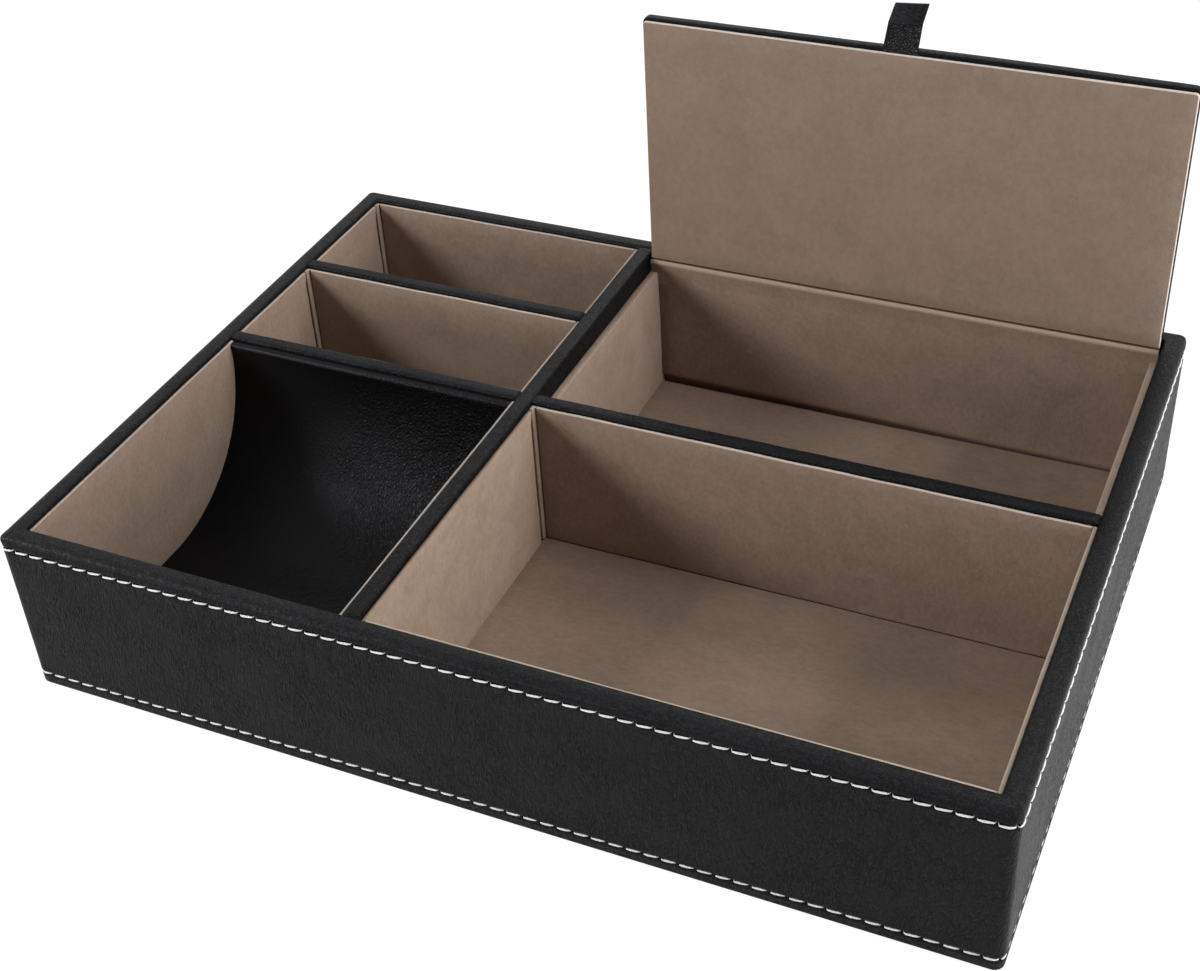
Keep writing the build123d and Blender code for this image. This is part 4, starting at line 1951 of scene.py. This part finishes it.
@dataclass(frozen=True)
class Softbox:
    """Square soft lamp that points at the box.

    Args:
        name: Name of the lamp.
        azimuth: Direction that it hangs in, anticlockwise from +X, in degrees.
        elevation: Its height above the horizon, in degrees.
        power: Its power in watts.
        size: Length of its side.
        distance: Distance from the box.
    """

    name: str
    azimuth: float
    elevation: float
    power: float
    size: float = 0.5
    distance: float = 1.6

    def hang(self) -> None:
        """Add the lamp."""
        way = direction(self.azimuth, self.elevation)
        data = bpy.data.lights.new(self.name, "AREA")
        data.size = self.size
        data.energy = self.power
        lamp = bpy.data.objects.new(self.name, data)
        lamp.location = way * self.distance
        lamp.rotation_euler = (-way).to_track_quat("-Z", "Y").to_euler()
        bpy.context.scene.collection.objects.link(lamp)


@dataclass
class Studio:
    """Camera, lamps, floor and backdrop.

    Args:
        azimuth: Direction that the photograph looks from, in degrees anticlockwise from the front.
        elevation: Its height above the horizon.
        roll: Its turn about the line of sight.
        distance: Distance from the camera to its aim.
        aim: Point that it looks at.
        focal_pixels: Focal length in pixels of the photograph.
        photo_width: Width of the photograph in pixels.
        sensor: Width of the sensor in millimetres.
        clip: Nearest and farthest distance that the camera sees.
        sky: Colour of the even light.
        even_light: Strength of that light.
        floor_half: Half the length of the floor's side.
        floor_grey: Brightness of the floor's paint.
        floor_glow: Strength of the white that the camera sees on the floor.
        floor_share: Share of that white, where the rest keeps the shadow.
        lamps: The lamps.
    """

    azimuth: float = 26.111
    elevation: float = 37.410
    roll: float = -3.652
    distance: float = 624.63 * MM
    aim: tuple[float, float, float] = (-12.41 * MM, 8.29 * MM, 30.0 * MM)
    focal_pixels: float = 1832.6
    photo_width: float = 1200.0
    sensor: float = 36.0
    clip: Span = (0.01, 50.0)
    sky: Colour = (0.96, 0.98, 1.0)
    even_light: float = 0.03
    floor_half: float = 1.3
    floor_grey: float = 0.80
    floor_glow: float = 1.18
    floor_share: float = 0.78
    lamps: tuple[Softbox, ...] = (
        Softbox("softbox_right_low", 0, 12, 12.5),
        Softbox("softbox_right_high", 0, 32, 13.0),
        Softbox("softbox_left", 210, 32, 15.5),
        Softbox("softbox_front", 243, 12, 6.0),
        Softbox("softbox_back", 70, 58, 5.5),
        Softbox("softbox_rim", 108, 34, 2.6),
    )

    def build(self) -> None:
        """Set up the camera, the light and the floor."""
        self._camera()
        for lamp in self.lamps:
            lamp.hang()
        self._world()
        self._floor()
        bpy.context.scene.view_settings.view_transform = "Standard"

    def _camera(self) -> None:
        """Place the camera at the photograph's angle."""
        back = direction(self.azimuth - 90, self.elevation)
        right = UNITS[Z].cross(back).normalized()
        up = back.cross(right)
        turn = math.radians(self.roll)
        across = right * math.cos(turn) + up * math.sin(turn)
        upward = up * math.cos(turn) - right * math.sin(turn)
        data = bpy.data.cameras.new("camera")
        data.sensor_width = self.sensor
        data.lens = self.focal_pixels * self.sensor / self.photo_width
        data.clip_start, data.clip_end = self.clip
        camera = bpy.data.objects.new("camera", data)
        turned = Matrix((across, upward, back)).transposed().to_4x4()
        camera.matrix_world = Matrix.Translation(Vector(self.aim) + back * self.distance) @ turned
        bpy.context.scene.collection.objects.link(camera)
        bpy.context.scene.camera = camera

    @staticmethod
    def _looked_at(nodes: Nodes) -> Value:
        """Value that is 1 for camera, glossy and transmission rays, and 0 for the rest."""
        path = nodes.tree.nodes.new("ShaderNodeLightPath")
        rays = ("Is Camera Ray", "Is Glossy Ray", "Is Transmission Ray")
        camera, glossy, through = (Value(nodes, path.outputs[ray]) for ray in rays)
        return camera.most(glossy).most(through)

    def _world(self) -> None:
        """White backdrop to look at, and plain even light for the rest."""
        world = bpy.data.worlds.new("backdrop")
        world.use_nodes = True
        nodes = Nodes(world.node_tree)
        even = {"Color": (*self.sky, 1), "Strength": self.even_light}
        light = nodes.node("ShaderNodeBackground", sockets=even)
        white = nodes.node("ShaderNodeBackground", sockets={"Color": (1, 1, 1, 1), "Strength": 1.0})
        nodes.show("World Output", nodes.mixed(self._looked_at(nodes), light, white))
        bpy.context.scene.world = world

    def _floor(self) -> None:
        """Pale floor that looks white and still keeps the box's shadow."""
        half, grey = self.floor_half, self.floor_grey
        bench = Bench.sheet("floor", Space(Vector((-half, -half, 0)), Vector((half, half, 0))))
        paint = {"Base Color": (grey, grey, grey, 1), "Roughness": 0.9, "Specular IOR Level": 0.0}
        shader = Shader("floor", paint)
        glow = shader.node("ShaderNodeEmission", sockets={"Strength": self.floor_glow})
        painted = Value(shader, shader.surface.outputs[0])
        share = self._looked_at(shader) * self.floor_share
        shader.show("Material Output", shader.mixed(share, painted, glow))
        bench.obj.data.materials.append(shader.material)


def main() -> None:
    """Build the box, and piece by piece."""
    logging.basicConfig(level=logging.INFO, format="%(message)s")
    front_tops = {Side.LEFT: Top.WRAPPED, Side.RIGHT: Top.FRAYED, Side.FRONT: Top.FRAYED}
    ledge = Lining(
        "right_back",
        # Panel tops in the lighter suede: painted light.
        tops={side: Top.BRUSHED for side in Side},
        fold=0.0,
        floor_gaps=(-0.6 * MM, 0.3 * MM, 0.3 * MM, -0.8 * MM),
        cove=(5.0 * MM, 2.1 * MM),
        leans=Lid.lean_below,
    )
    pieces = [
        Studio(),
        Shell(),
        Divider("centre_divider", Y),
        Divider("left_front_divider", X),
        Divider("left_rear_divider", X),
        Divider("right_divider", X),
        Lining("back_left"),
        Lining("middle_left"),
        # Its left panel has a lighter copy of the suede: painted light.
        Lining("right_front", tops=front_tops, left=LIT_LEFT_SUEDE),
        ledge,
        Lining("well", sides=(Side.LEFT, Side.RIGHT), has_floor=False),
        Scoop(),
        Lid(),
        PullTab(),
        Sole(),
        Carcass(),
    ]
    for piece in pieces:
        piece.build()


if __name__ == "__main__":
    main()
